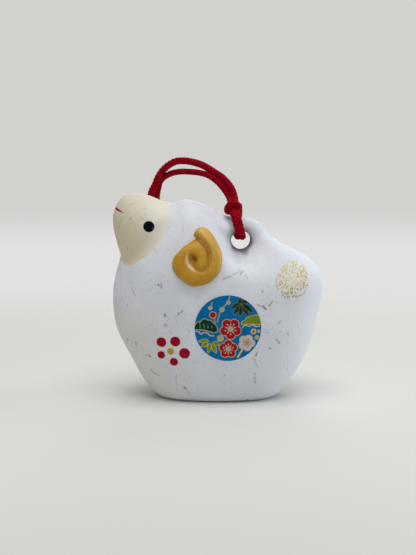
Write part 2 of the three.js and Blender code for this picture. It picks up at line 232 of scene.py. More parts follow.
OUTER_STRAND = np.array([
    (4.7, -1.4, 74.5), (2, 0, 77.7), (-1.3, 1.2, 80), (-5.4, 2.7, 82.4),
    (-9.2, 3.9, 83.6), (-12, 4.8, 84), (-15, 5.7, 83.8), (-17.6, 6.4, 82.5), (-19.8, 7, 80.6),
    (-21.5, 7.4, 78.1), (-22.7, 8.1, 75.3), (-23.9, 9.4, 73.1), (-24.6, 11.1, 70.8),
    (-25.1, 13, 68.6), (-25.2, 15.1, 66.8), (-25, 16.3, 65.8),
]) * MM
INNER_STRAND = np.array([
    (2, -0.8, 74.4), (-0.4, -0.2, 76.9), (-3.3, 1, 78.8), (-6.4, 2.4, 79.7),
    (-10.3, 4.1, 80.1), (-13.6, 5.3, 80.1), (-16.4, 6.8, 79.6), (-19, 8.3, 78.4), (-20.8, 9.5, 76.7),
    (-21.6, 10.7, 74.2), (-22.1, 11.6, 72), (-22.3, 12.6, 70), (-22.4, 14, 68.2), (-22.5, 15.6, 66.7),
    (-22.6, 16.7, 65.8),
]) * MM
KNOT_PLACE = np.array((-23.8, 16.85, 61.5)) * MM
OUTER_END = np.array([(-24.5, 17, 59.6), (-25, 17.1, 57.6), (-25.7, 17.1, 55.4), (-26.2, 17, 53)]) * MM
INNER_END = np.array([
    (-23.2, 17.1, 59.6), (-22.9, 17.4, 57.6), (-22.5, 17.8, 55.6), (-22.3, 18.2, 53.8),
]) * MM


# Camera and light

# The dip is in degrees, the focal length and the picture's height in pixels, and the film in millimetres
CAMERA_PLACE = (-0.003469, -0.36, 0.082)
CAMERA_DIP = 6.29
FOCAL_PIXELS = 1008
PICTURE_PIXELS = 555
FILM_SIZE = 36
NEAREST_SEEN = 0.01
ROOM_LIGHT = 0.29
ROOM_TINT = (1.0, 0.95, 0.86, 1.0)
LAMP_TARGET = (0, 0, 0.04)

# Lamps: name, place, size across, watts and tint
LAMPS = [
    ("key", (0.0, -0.13, 0.6), 0.5, 2.0, (1.0, 0.99, 0.97)),
    ("back", (0.1, 0.4, 0.5), 0.4, 0.4, (1.0, 0.97, 0.85)),
    ("through", (0.02, 0.6, 0.18), 0.25, 0.6, (1.0, 0.98, 0.95)),
    ("right", (0.6, 0.1, 0.13), 0.25, 1.12, (0.78, 0.92, 1.0)),
    ("front", (0.05, -0.5, 0.4), 0.4, 0.2, (0.5, 0.78, 1.0)),
]


def linear(*seen):
    """A colour of 0 to 255 as it is seen, in the linear values that shaders take."""
    shares = [level / 255 for level in seen]
    return tuple(s / 12.92 if s < 0.04045 else ((s + 0.055) / 1.055) ** 2.4 for s in shares)


def camera():
    """The photograph's view: level across, and dipped a little."""
    lens = bpy.data.cameras.new("camera")
    lens.sensor_width = FILM_SIZE
    lens.lens = FILM_SIZE * FOCAL_PIXELS / PICTURE_PIXELS
    lens.clip_start = NEAREST_SEEN
    view = bpy.data.objects.new("camera", lens)
    view.location = CAMERA_PLACE
    view.rotation_euler = (math.radians(90 - CAMERA_DIP), 0, 0)
    bpy.context.scene.collection.objects.link(view)
    bpy.context.scene.camera = view


def soft_lamp(name, place, size, power, tint):
    """A round lamp aimed at the bell."""
    lamp = bpy.data.lights.new(name, "AREA")
    lamp.shape = "DISK"
    lamp.size = size
    lamp.energy = power
    lamp.color = tint
    holder = bpy.data.objects.new(name, lamp)
    holder.location = place
    aim = np.array(LAMP_TARGET) - np.array(place)
    tilt = math.atan2(math.hypot(aim[0], aim[1]), -aim[2])
    heading = math.atan2(-aim[0], aim[1])
    holder.rotation_euler = (tilt, 0, heading)
    bpy.context.scene.collection.objects.link(holder)


# Shader maths

class Value:
    """A number's socket in a material, which takes part in Python expressions."""

    def __init__(self, finish, socket):
        self.finish = finish
        self.socket = socket

    def math(self, operation, *others):
        return self.finish.add("ShaderNodeMath", {"operation": operation}, self, *others)

    def __add__(self, other):
        return self.math("ADD", other)

    def __radd__(self, other):
        return self.math("ADD", other)

    def __sub__(self, other):
        return self.math("SUBTRACT", other)

    def __rsub__(self, other):
        return self.finish.add("ShaderNodeMath", {"operation": "SUBTRACT"}, other, self)

    def __mul__(self, other):
        return self.math("MULTIPLY", other)

    def __rmul__(self, other):
        return self.math("MULTIPLY", other)

    def __truediv__(self, other):
        return self.math("DIVIDE", other)

    def ramp(self, low, high):
        """0 at low and 1 at high, with soft ends."""
        settings = {"interpolation_type": "SMOOTHSTEP"}
        return self.finish.add("ShaderNodeMapRange", settings, self, low, high, 0.0, 1.0)

    def larger(self, other):
        return self.math("MAXIMUM", other)

    def smaller(self, other):
        return self.math("MINIMUM", other)


class Finish:
    """Shader of a material or a world in the making, with one method that adds any node."""

    def __init__(self, owner):
        owner.use_nodes = True
        self.owner = owner
        self.tree = owner.node_tree
        self.tree.nodes.clear()

    def add(self, kind, settings, *values, result=0, **named):
        """A new node with its settings, with sockets filled by number or by name, and one of its results."""
        node = self.tree.nodes.new(kind)
        for key, setting in settings.items():
            setattr(node, key, setting)
        for key, value in [*enumerate(values), *named.items()]:
            key = int(key) if str(key).isdigit() else key.replace("_", " ")
            socket = node.inputs[key]
            if isinstance(value, Value):
                self.tree.links.new(value.socket, socket)
            else:
                socket.default_value = value
        return Value(self, node.outputs[result]) if node.outputs else None

    def place(self):
        """Object coordinates, in millimetres."""
        coordinates = self.add("ShaderNodeTexCoord", {}, result="Object")
        return self.vector_math("SCALE", coordinates, Scale=1 / MM)

    def split(self, vector):
        """A vector's three numbers. Those of a place lie along, aside and up."""
        return [self.add("ShaderNodeSeparateXYZ", {}, vector, result=axis) for axis in range(3)]

    def vector(self, x, y, z):
        return self.add("ShaderNodeCombineXYZ", {}, x, y, z)

    def vector_math(self, operation, *values, **named):
        return self.add("ShaderNodeVectorMath", {"operation": operation}, *values, **named)

    def apart(self, first, second):
        """Distance between two places."""
        return self.vector_math("DISTANCE", first, second, result="Value")

    def along(self, place, start, end):
        """How far along a straight stroke a place lies, from 0 to 1, and its distance from the stroke."""
        arm = np.subtract(end, start)
        from_start = self.vector_math("SUBTRACT", place, start)
        run = self.vector_math("DOT_PRODUCT", from_start, tuple(arm / (arm @ arm)), result="Value")
        run = run.larger(0.0).smaller(1.0)
        return run, self.apart(from_start, self.vector_math("SCALE", tuple(arm), Scale=run))

    def noise(self, place, scale, detail=3.0, roughness=0.5):
        sockets = {"Vector": place, "Scale": scale, "Detail": detail, "Roughness": roughness}
        return self.add("ShaderNodeTexNoise", {}, **sockets)

    def attribute(self, name, result="Fac"):
        return self.add("ShaderNodeAttribute", {"attribute_name": name}, result=result)

    def mix(self, share, first, second):
        """Second colour over the first one by a share."""
        first, second = (c if isinstance(c, Value) else (*c, 1) for c in (first, second))
        settings = {"data_type": "RGBA"}
        return self.add("ShaderNodeMix", settings, result=2, **{"0": share, "6": first, "7": second})

    def bump(self, height, strength, distance):
        return self.add("ShaderNodeBump", {}, Height=height, Strength=strength, Distance=distance)

    def surface(self, **named):
        shader = self.add("ShaderNodeBsdfPrincipled", {}, **named)
        self.add("ShaderNodeOutputMaterial", {}, Surface=shader)
        return self.owner


def finish(name):
    """A new material's finish."""
    return Finish(bpy.data.materials.new(name))


# Shape of the clay

def soft_min(a, b, softness):
    """The lesser of two distances, rounded where they meet."""
    return np.minimum(a, b) - np.maximum(softness - np.abs(a - b), 0) ** 2 / (4 * softness)


def soft_max(a, b, softness):
    return -soft_min(-a, -b, softness)


def length_along(route):
    """How far along a route each of its points lies."""
    return np.concatenate([[0], np.cumsum(np.linalg.norm(np.diff(route, axis=0), axis=1))])


def smooth_route(marks, spacing):
    """Evenly spaced points on a smooth curve through the marks."""
    marks = np.asarray(marks, float)
    marks = np.vstack([2 * marks[0] - marks[1], marks, 2 * marks[-1] - marks[-2]])
    knots = np.concatenate([[0], np.cumsum(np.linalg.norm(np.diff(marks, axis=0), axis=1) ** 0.5)])
    fine = []
    for i in range(1, len(marks) - 2):
        t = np.linspace(knots[i], knots[i + 1], ROUTE_STEPS, endpoint=False)[:, None]
        rows = list(marks[i - 1:i + 3])
        near = knots[i - 1:i + 3]
        for spans in (((0, 1), (1, 2), (2, 3)), ((0, 2), (1, 3)), ((1, 2),)):
            rows = [
                (rows[k] * (near[high] - t) + rows[k + 1] * (t - near[low])) / (near[high] - near[low])
                for k, (low, high) in enumerate(spans)
            ]
        fine.append(rows[0])
    fine = np.vstack([*fine, marks[-2]])
    lengths = length_along(fine)
    steps = np.linspace(0, lengths[-1], max(2, round(lengths[-1] / spacing) + 1))
    return np.column_stack([np.interp(steps, lengths, column) for column in fine.T])


def outline_reach(centre, outline):
    """Reach of a closed outline from its centre, as a smooth function of the bearing."""
    arms = smooth_route([*outline, *outline[:3]], OUTLINE_STEP) - centre
    marks = np.arctan2(arms[:, 1], arms[:, 0])
    order = np.argsort(marks)
    bearings = np.linspace(-np.pi, np.pi, BEARINGS + 1)
    reaches = np.interp(bearings, marks[order], np.hypot(*arms.T)[order], period=TURN)[:-1]
    for _ in range(EASING_ROUNDS):
        reaches = np.mean([np.roll(reaches, shift) for shift in range(-EASING, EASING + 1)], axis=0)
    reaches = np.append(reaches, reaches[0])
    return lambda bearing: np.interp(bearing, bearings, reaches)


def lobe(centre, outline, half_width, fullness):
    """Rounded form with a given side view: distance from its skin, less than zero inside."""
    reach = outline_reach(centre, outline)

    def distance(points):
        along = points[:, 0] - centre[0]
        up = points[:, 2] - centre[1]
        flat = np.hypot(along, up)
        length = np.hypot(flat, points[:, 1]) + TINY
        across = flat / length / reach(np.arctan2(up, along))
        aside = np.abs(points[:, 1]) / length / half_width
        return length - (across ** fullness + aside ** fullness) ** (-1 / fullness)

    return distance


wool = lobe(WOOL_CENTRE, WOOL_OUTLINE, BODY_WIDTH / 2, WOOL_FULLNESS)
head = lobe(HEAD_CENTRE, HEAD_OUTLINE, HEAD_WIDTH / 2, HEAD_FULLNESS)


def dent(points):
    """Ball pressed in as a thumb dent beside the cord hole on both sides, steeper toward head and foot."""
    toward_head, toward_foot = DENT_LEAN
    aside = np.abs(points[:, 1]) - BRIDGE_WIDTH / 2 - DENT_RADIUS
    along = points[:, 0] - HOLE_PLACE[0] - DENT_SHIFT
    along = np.where(along < 0, along * toward_head, along)
    up = points[:, 2] - HOLE_PLACE[1]
    up = np.where(up < 0, up * toward_foot, up)
    return DENT_RADIUS - np.sqrt(along ** 2 + aside ** 2 + up ** 2)


def belly_hollow(points):
    """Slight hollow low in the middle of both flanks."""
    along = (points[:, 0] - BELLY_PLACE[0]) / BELLY_REACH
    up = np.maximum(points[:, 2], 0) / BELLY_RISE
    return BELLY_HOLLOW * np.exp(-along ** 4 - up ** 2)


def depth_within(places, route):
    """How far flat places lie within an outline, less than zero outside it."""
    nearest = np.full(len(places), np.inf)
    crossings = np.zeros(len(places), int)
    for start, end in zip(route[:-1], route[1:]):
        arm = end - start
        t = np.clip((places - start) @ arm / (arm @ arm), 0, 1)
        nearest = np.minimum(nearest, np.linalg.norm(places - start - t[:, None] * arm, axis=1))
        beside = (start[1] > places[:, 1]) != (end[1] > places[:, 1])
        meets = start[0] + (places[:, 1] - start[1]) / (arm[1] or TINY) * arm[0]
        crossings += beside & (places[:, 0] < meets)
    return np.where(crossings % 2 == 1, nearest, -nearest)


FACE_LINE = smooth_route(FACE_EDGE, FACE_EDGE_STEP)


def chin_step(points):
    """Slight drop from the wool to the chin and cheek, which fades upward and into the face."""
    x, _, z = points.T
    low, high = CHIN_RANGE
    near = (x < THROAT_END) & (z > low) & (z < high)
    fade = np.clip((high - z[near]) / CHIN_FADE, 0, 1)
    depth = depth_within(points[near][:, [0, 2]], FACE_LINE)
    drop = np.clip(depth / CHIN_SLOPE + 0.5, 0, 1)
    step = np.zeros(len(points))
    step[near] = CHIN_STEP * fade * drop * drop * (3 - 2 * drop) * np.exp(-np.maximum(depth, 0) / CHEEK_FADE)
    return step


def unevenness(points):
    """Slight broad swell of clay that was pressed and smoothed by hand."""
    x, y, z = (points / MM).T
    slanting = np.sin(x / SLANT_ALONG - z / SLANT_UP)
    rolling = np.sin(z / ROLL_UP + x / ROLL_ALONG + np.abs(y) / ROLL_ASIDE)
    return HAND_UNEVENNESS * (slanting + rolling)


def skin_distance(points):
    """Outside of the clay, without the cord hole and the slit."""
    form = soft_min(wool(points), head(points), NECK_SOFTNESS)
    form = form + belly_hollow(points) + chin_step(points) + unevenness(points)
    return soft_max(soft_max(form, dent(points), DENT_SOFTNESS), -points[:, 2], FOOT_ROUNDING)


def cavity_distance(points):
    """The chamber keeps a wall's thickness inside the wool, over the floor and under the cord hole."""
    walls = soft_max(wool(points), dent(points), DENT_SOFTNESS) + WALL
    ceiling = points[:, 2] - (HOLE_PLACE[1] - HOLE_RADIUS - WALL)
    chamber = soft_max(walls, FLOOR - points[:, 2], CAVITY_SOFTNESS)
    return soft_max(chamber, ceiling, CAVITY_SOFTNESS)


def clay_distance(points):
    """Hollow clay with rounded lips at the cord hole and the slit."""
    solid = np.maximum(skin_distance(points), -cavity_distance(points))
    pinch = HOLE_PINCH * np.exp(-(points[:, 1] / (BRIDGE_WIDTH / 3)) ** 2)
    hole = HOLE_RADIUS - pinch - np.hypot(points[:, 0] - HOLE_PLACE[0], points[:, 2] - HOLE_PLACE[1] - pinch)
    run = np.maximum(np.abs(points[:, 0]) - (SLIT_LENGTH - SLIT_WIDTH) / 2, 0)
    slit = SLIT_WIDTH / 2 - np.hypot(run, points[:, 1])
    slit = np.minimum(slit, SLIT_DEPTH - points[:, 2])
    return soft_max(soft_max(solid, hole, LIP_SOFTNESS), slit, SLIT_SOFTNESS)


def slope_of(distance, points):
    """A form's distance at some points, and the direction in which it grows."""
    here = distance(points)
    ahead = [distance(points + SLOPE_STEP * axis) - here for axis in np.eye(3)]
    return here, np.column_stack(ahead) / SLOPE_STEP


def cast(starts, directions, distance):
    """Points where rays leave a form."""
    inside = np.zeros(len(directions))
    outside = np.full(len(directions), BODY_LENGTH)
    for _ in range(CAST_HALVINGS):
        middle = (inside + outside) / 2
        within = distance(starts + directions * middle[:, None]) < 0
        inside = np.where(within, middle, inside)
        outside = np.where(within, outside, middle)
    return starts + directions * outside[:, None]


def over_skin(places, lifts):
    """Points over the shown side of the body, lifted off the clay along its normal."""
    starts = np.column_stack([places[:, 0], np.zeros(len(places)), places[:, 1]])
    skin = cast(starts, np.tile((0.0, -1.0, 0.0), (len(places), 1)), skin_distance)
    slope = slope_of(skin_distance, skin)[1]
    return skin + slope / np.linalg.norm(slope, axis=1)[:, None] * lifts[:, None]


# Meshes

def points_of(bm):
    return np.array([vert.co for vert in bm.verts])


def move_to(bm, points):
    for vert, point in zip(bm.verts, points):
        vert.co = point


def mesh_of(name, bm):
    """A smooth mesh from a bmesh, which is freed."""
    for face in bm.faces:
        face.smooth = True
    mesh = bpy.data.meshes.new(name)
    bm.to_mesh(mesh)
    bm.free()
    return mesh


def piece(mesh, material, body, slot, *nodes):
    """A finished mesh as a piece that rides on a body and stands for some CAD nodes."""
    mesh.materials.append(material)
    thing = bpy.data.objects.new(mesh.name, mesh)
    bpy.context.scene.collection.objects.link(thing)
    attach(thing, body)
    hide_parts(*nodes)
    return thing


def marked(mesh, marks):
    """A mesh with named values at its points, for the finishes to read."""
    for name, values in marks.items():
        mesh.attributes.new(name, "FLOAT", "POINT").data.foreach_set("value", values.astype(np.float32))
    return mesh


def mirrored(mesh, name):
    """The same mesh across the middle plane."""
    bm = bmesh.new()
    bm.from_mesh(mesh)
    bmesh.ops.scale(bm, vec=(1, -1, 1), verts=bm.verts)
    bmesh.ops.reverse_faces(bm, faces=bm.faces)
    return mesh_of(name, bm)


# Braided cord

# A direction that no cord starts along
ASLANT = (0.3, 1, 0.2)


def carried_frame(route):
    """Side and lift along a route, turned no more than the route bends."""
    ahead = np.gradient(route, axis=0)
    ahead /= np.linalg.norm(ahead, axis=1)[:, None]
    side = np.cross(ahead[0], ASLANT)
    sides = []
    for direction in ahead:
        side = side - direction * (side @ direction)
        side = side / np.linalg.norm(side)
        sides.append(side)
    sides = np.array(sides)
    return sides, np.cross(ahead, sides)


def rolled(bm, centres, across, outward, half_width, half_thickness):
    """A closed tube of oval section: a sheet rolled up round a line of centres. Halves are given along it."""
    count = len(centres) - 1
    sheet = bmesh.ops.create_grid(
        bm, x_segments=count, y_segments=YARN_SIDES, size=1, calc_uvs=True)["verts"]
    for vert in sheet:
        i = round((vert.co.x + 1) / 2 * count)
        turn = (vert.co.y + 1) / 2 * TURN
        wide = across[i] * (half_width[i] * math.cos(turn))
        vert.co = centres[i] + wide + outward[i] * (half_thickness[i] * math.sin(turn))
    bmesh.ops.remove_doubles(bm, verts=sheet, dist=MERGE_REACH)
    rims = [edge for edge in bm.edges if edge.is_boundary]
    bmesh.ops.holes_fill(bm, edges=rims, sides=0)


def braid(name, route, frames, along, girth):
    """Cord mesh round a route: a core, and four yarns each way that pass over and under each other."""
    sides, lifts = frames
    bm = bmesh.new()
    bm.loops.layers.uv.new("yarn")
    rolled(bm, route, sides, lifts, CORE_RADIUS * girth, CORE_RADIUS * girth)
    for hand in (1, -1):
        for yarn in range(4):
            angle = hand * along / CORD_LAY * TURN + yarn * TURN / 4
            outward = np.cos(angle)[:, None] * sides + np.sin(angle)[:, None] * lifts
            radius = YARN_RADIUS + hand * YARN_WEAVE * np.cos(4 * along / CORD_LAY * TURN)
            centres = route + outward * (radius * girth)[:, None]
            across = np.cross(outward, np.gradient(centres, axis=0))
            across /= np.linalg.norm(across, axis=1)[:, None]
            rolled(bm, centres, across, outward, YARN_HALF_WIDTH * girth, YARN_HALF_THICKNESS * girth)
    bmesh.ops.recalc_face_normals(bm, faces=bm.faces)
    return mesh_of(name, bm)


def nearest_index(route, point):
    return int(np.argmin(np.linalg.norm(route - point, axis=1)))


def cord(material):
    """The whole cord as one braided route, cut into the strands and the hitch between them."""
    marks = np.vstack([OUTER_STRAND[::-1], OUTER_LEG, BAR, INNER_LEG[::-1], INNER_STRAND])
    route = smooth_route(marks, CORD_STEP)
    along = length_along(route)
    frames = carried_frame(route)
    outer_cut = nearest_index(route, OUTER_LEG[0])
    inner_cut = nearest_index(route, INNER_LEG[0])
    girth = np.interp(along, along[inner_cut] + np.array((0, THINNING_LENGTH)), (1, INNER_GIRTH))

    def stretch(name, start, end, node):
        part = slice(start, end + 1)
        mesh = braid(name, route[part], [axis[part] for axis in frames], along[part], girth[part])
        return piece(mesh, material, "cord", "red_cord", node)

    outer = stretch("outer_strand_braid", 0, outer_cut, "cord_strand_outer")
    hitch = stretch("hitch_braid", outer_cut, inner_cut, "cord_hitch")
    inner = stretch("inner_strand_braid", inner_cut, len(route) - 1, "cord_strand_inner")
    knot = end_knot(material)


def end_knot(material):
    """Overhand knot behind the head: a trefoil of the cord with both cut ends below it."""
    turn = np.linspace(0, 2 * TURN, KNOT_STEPS)
    swell = KNOT_RADIUS * (2 + np.cos(1.5 * turn)) / 2
    weave = -KNOT_RADIUS * np.sin(1.5 * turn) / 2
    trefoil = KNOT_PLACE + np.column_stack([swell * np.cos(turn), weave, swell * np.sin(turn)])
    meshes = []
    for name, marks in (("knot_turns", trefoil), ("outer_end", OUTER_END), ("inner_end", INNER_END)):
        route = smooth_route(marks, CORD_STEP)
        meshes.append(braid(name, route, carried_frame(route), length_along(route), np.ones(len(route))))
    bm = bmesh.new()
    for mesh in meshes:
        bm.from_mesh(mesh)
    return piece(mesh_of("end_knot_braid", bm), material, "cord", "red_cord", "cord_end_knot")


# Clay body

def shape(name, bm):
    """A passing object that a modifier works with."""
    thing = bpy.data.objects.new(name, mesh_of(name, bm))
    bpy.context.scene.collection.objects.link(thing)
    return thing


def cast_ball(centre, distance, fineness):
    """A ball pressed out from a centre to a form."""
    bm = bmesh.new()
    bmesh.ops.create_icosphere(bm, subdivisions=fineness, radius=1)
    directions = points_of(bm)
    starts = np.tile((centre[0], 0.0, centre[1]), (len(directions), 1))
    move_to(bm, cast(starts, directions / np.linalg.norm(directions, axis=1)[:, None], distance))
    return bm


def hole_plug():
    """The cord hole as a rod across the body."""
    bm = bmesh.new()
    bmesh.ops.create_cone(
        bm, cap_ends=True, segments=HOLE_SIDES, radius1=HOLE_RADIUS, radius2=HOLE_RADIUS, depth=BODY_WIDTH)
    rod = bm.verts[:]
    bmesh.ops.rotate(bm, verts=rod, cent=(0, 0, 0), matrix=Matrix.Rotation(TURN / 4, 3, "X"))
    bmesh.ops.translate(bm, verts=rod, vec=(HOLE_PLACE[0], 0, HOLE_PLACE[1]))
    return bm


def slit_plug():
    """The sound slit as a block through the floor."""
    bm = bmesh.new()
    bmesh.ops.create_cube(bm, size=1)
    bmesh.ops.scale(bm, vec=(SLIT_LENGTH, SLIT_WIDTH, 2 * SLIT_DEPTH), verts=bm.verts)
    return bm


def settle(points, distance):
    """Points drawn onto a form's skin."""
    for _ in range(SETTLING_ROUNDS):
        here, slope = slope_of(distance, points)
        step = here / np.maximum((slope ** 2).sum(axis=1), LEAST_SLOPE)
        points = points - slope * np.clip(step, -SETTLING_STEP, SETTLING_STEP)[:, None]
    return points


def hollow_clay():
    """The whole hollow body in an even mesh, before it is parted."""
    blank = shape("blank", cast_ball(CAST_CENTRE, skin_distance, BLANK_FINENESS))
    cuts = [
        shape("chamber", cast_ball(CAVITY_CENTRE, cavity_distance, CHAMBER_FINENESS)),
        shape("hole", hole_plug()),
        shape("slit", slit_plug()),
    ]
    for cut in cuts:
        hollowing = blank.modifiers.new(cut.name, "BOOLEAN")
        hollowing.operation = "DIFFERENCE"
        hollowing.object = cut
    evening = blank.modifiers.new("even", "REMESH")
    evening.mode = "VOXEL"
    evening.voxel_size = CLAY_GRAIN
    depsgraph = bpy.context.evaluated_depsgraph_get()
    bm = bmesh.new()
    bm.from_object(blank, depsgraph)
    for passing in [blank, *cuts]:
        bpy.data.objects.remove(passing)
    for _ in range(SMOOTHING_ROUNDS):
        bmesh.ops.smooth_vert(
            bm, verts=bm.verts, factor=0.5, use_axis_x=True, use_axis_y=True, use_axis_z=True)
        move_to(bm, settle(points_of(bm), clay_distance))
    return bm


def near_clay():
    """The shown half of the body, parted along the middle plane and closed there."""
    bm = hollow_clay()
    for vert in bm.verts:
        if abs(vert.co.y) < PARTING_SNAP:
            vert.co.y = 0
    whole = bm.verts[:] + bm.edges[:] + bm.faces[:]
    bmesh.ops.bisect_plane(
        bm, geom=whole, dist=MERGE_REACH, plane_co=(0, 0, 0), plane_no=(0, 1, 0), clear_outer=True)
    rims = [edge for edge in bm.edges if edge.is_boundary]
    for edge in rims:
        edge.smooth = False
    bmesh.ops.triangle_fill(bm, use_beauty=True, edges=rims)
    bmesh.ops.recalc_face_normals(bm, faces=bm.faces)
    points = points_of(bm)
    marks = {
        "face": depth_within(points[:, [0, 2]], FACE_LINE) / MM,
        "bare": np.clip((BARE_DEPTH - cavity_distance(points)) / MM, 0, 1),
    }
    return marked(mesh_of("near_clay", bm), marks)


# Horn and roundel

HORN_RIM = smooth_route(HORN_OUTLINE * HORN_HEIGHT, HORN_LINE_STEP)
GROOVE_LINE = smooth_route(HORN_GROOVE * HORN_HEIGHT, HORN_LINE_STEP)
HIGHLIGHT_LINE = smooth_route(HORN_HIGHLIGHT * HORN_HEIGHT, HORN_LINE_STEP)


def from_line(places, line):
    """Distance of flat places from a line of close points, and how far along it each one lies."""
    away = np.linalg.norm(places[:, None, :] - line[None, :, :], axis=2)
    return away.min(axis=1), away.argmin(axis=1) / (len(line) - 1)


def horn_hollow(places):
    """How deep a place lies in the groove that winds in and in the pit at its end."""
    away, along = from_line(places, GROOVE_LINE)
    groove = GROOVE_DEPTH * np.interp(along, *GROOVE_SHARES) * np.exp(-(away / GROOVE_WIDTH) ** 2)
    pit = np.linalg.norm(places - GROOVE_LINE[-1], axis=1)
    return groove + PIT_DEPTH * np.exp(-(pit / PIT_WIDTH) ** 2)


def horn_gleam(places):
    """How strong the painted highlight is at a place along the edge beside the groove."""
    away, along = from_line(places, HIGHLIGHT_LINE)
    return np.interp(along, *HIGHLIGHT_SHARES) * np.exp(-(away / HIGHLIGHT_WIDTH) ** 2)


def horn_relief(places):
    """Height of the horn over the clay, with a rounded rim that sinks into it."""
    depth = depth_within(places, HORN_RIM)
    rounding = 1 - np.clip(depth / HORN_ROUNDING, 0, 1)
    crown = HORN_RELIEF * np.sqrt(1 - rounding ** HORN_FULLNESS) - horn_hollow(places)
    return np.where(depth > 0, crown, np.maximum(depth, -HORN_SINK))


def near_horn():
    """Relief on a fine grid that sinks into the clay round the horn and is closed below it."""
    bm = bmesh.new()
    bmesh.ops.create_grid(bm, x_segments=HORN_STEPS, y_segments=HORN_STEPS, size=HORN_GRID)
    places = points_of(bm)[:, :2]
    relief = horn_relief(places)
    bm.verts.index_update()
    sunk = [face for face in bm.faces if max(relief[vert.index] for vert in face.verts) <= -HORN_SINK]
    move_to(bm, over_skin(places + HORN_PLACE, relief))
    bmesh.ops.delete(bm, geom=sunk, context="FACES")
    under = bmesh.ops.extrude_face_region(bm, geom=bm.faces[:])["geom"]
    close_below(under, HORN_BED)
    bmesh.ops.recalc_face_normals(bm, faces=bm.faces)
    places = points_of(bm)[:, [0, 2]] - HORN_PLACE
    # Marks for the painted shade in the groove and the painted highlight beside it
    marks = {
        "hollow": np.minimum(horn_hollow(places) / GROOVE_DEPTH, 1),
        "highlight": horn_gleam(places),
    }
    return marked(mesh_of("near_horn_relief", bm), marks)


def close_below(extruded, sink):
    """Draw the new points of an extrusion in under the clay."""
    verts = [part for part in extruded if isinstance(part, bmesh.types.BMVert)]
    lowered = over_skin(np.array([(vert.co.x, vert.co.z) for vert in verts]), np.full(len(verts), -sink))
    for vert, point in zip(verts, lowered):
        vert.co = point


def way(degrees):
    """Direction of a bearing on the flat paper."""
    bearing = math.radians(degrees)
    return np.array((math.cos(bearing), math.sin(bearing)))


class PaperPrint:
    """Layers of print on the paper, painted one over another. Lengths are shares of the roundel's radius."""

    EDGE = 0.014
    RIM = 0.017
    STEP = 0.03
    RIB_WIDTH = 0.022
    RIB_MARGIN = 0.02
    LEAF_LEAN = 0.8

    # A blossom's angle from petal to petal, and its parts as shares of its own radius
    PETAL_TURN = 72
    PETAL_PLACE = 0.56
    PETAL_RADIUS = 0.42
    MIDDLE_RADIUS = 0.45
    CREASE = (0.35, 0.62)
    STAMEN_REACHES = (0.52, 0.4)
    CROWN_RADIUS = 0.24
    HEART_RADIUS = 0.15

    # Its finest lines
    CREASE_WIDTH = 0.006
    STAMEN_WIDTH = 0.007
    STAMEN_TIP = 0.02

    def __init__(self, places, ground):
        self.places = places
        self.colour = np.tile(ground, (len(places), 1))
        self.gilt = np.zeros(len(places))

    def lay(self, distance, colour, gilt=0.0):
        """Ink inside a form, over what lies there."""
        share = np.clip(0.5 - distance / self.EDGE, 0, 1)
        self.colour += share[:, None] * (np.array(colour) - self.colour)
        self.gilt += share * (gilt - self.gilt)

    def rimmed(self, distance, colour, gilt=1.0):
        """Ink inside a form, with a gold or a plain rim round it."""
        self.lay(distance - self.RIM, GOLD_INK if gilt else TWIG_INK, gilt)
        self.lay(distance, colour)

    def disc(self, centre, radius):
        return np.linalg.norm(self.places - centre, axis=1) - radius

    def line(self, start, end, width):
        arm = np.subtract(end, start)
        t = np.clip((self.places - start) @ arm / (arm @ arm), 0, 1)
        return np.linalg.norm(self.places - start - t[:, None] * arm, axis=1) - width / 2

    def path(self, marks, width):
        route = smooth_route(marks, self.STEP)
        return np.minimum.reduce([self.line(a, b, width) for a, b in zip(route[:-1], route[1:])])

    def leaf(self, root, tip, width):
        """Slender leaf that is widest nearer its root."""
        arm = np.subtract(tip, root)
        length = np.linalg.norm(arm)
        t = (self.places - root) @ arm / length ** 2
        aside = np.abs((self.places - root) @ np.array((-arm[1], arm[0]))) / length
        swell = width / 2 * np.sin(np.pi * np.clip(t, 0, 1) ** self.LEAF_LEAN)
        beyond = np.maximum(np.maximum(-t, t - 1), 0) * length
        return np.hypot(np.maximum(aside - swell, 0), beyond) + np.minimum(aside - swell, 0)

    def patch(self, outline):
        return -depth_within(self.places, smooth_route([*outline, outline[0]], self.STEP))

    def plum(self, centre, radius, lean, petals, heart, stamens):
        """Five-petalled blossom with gold creases between its petals and stamens round its heart."""
        bearings = [lean + self.PETAL_TURN * petal for petal in range(5)]
        places = [centre + way(bearing) * radius * self.PETAL_PLACE for bearing in bearings]
        lobes = [self.disc(place, radius * self.PETAL_RADIUS) for place in places]
        form = np.minimum(np.minimum.reduce(lobes), self.disc(centre, radius * self.MIDDLE_RADIUS))
        self.rimmed(form, petals)
        for bearing in bearings:
            between = way(bearing + self.PETAL_TURN / 2) * radius
            start, end = (centre + between * share for share in self.CREASE)
            self.lay(self.line(start, end, self.CREASE_WIDTH), GOLD_INK, 1.0)
        for stamen in range(10):
            reach = radius * self.STAMEN_REACHES[stamen % 2]
            tip = centre + way(lean + self.PETAL_TURN / 2 * stamen) * reach
            self.lay(self.line(centre, tip, self.STAMEN_WIDTH), stamens)
            self.lay(self.disc(tip, self.STAMEN_TIP), stamens)
        self.lay(self.disc(centre, radius * self.CROWN_RADIUS), stamens)
        self.lay(self.disc(centre, radius * self.HEART_RADIUS), heart)

    def pine(self, outline, green, ribs):
        """Cloud-shaped pine bough with ribs of needles."""
        form = self.patch(outline)
        self.rimmed(form, green)
        for start, end in ribs:
            rib = self.line(start, end, self.RIB_WIDTH)
            self.lay(np.maximum(rib, form + self.RIB_MARGIN), NEEDLE_INK)


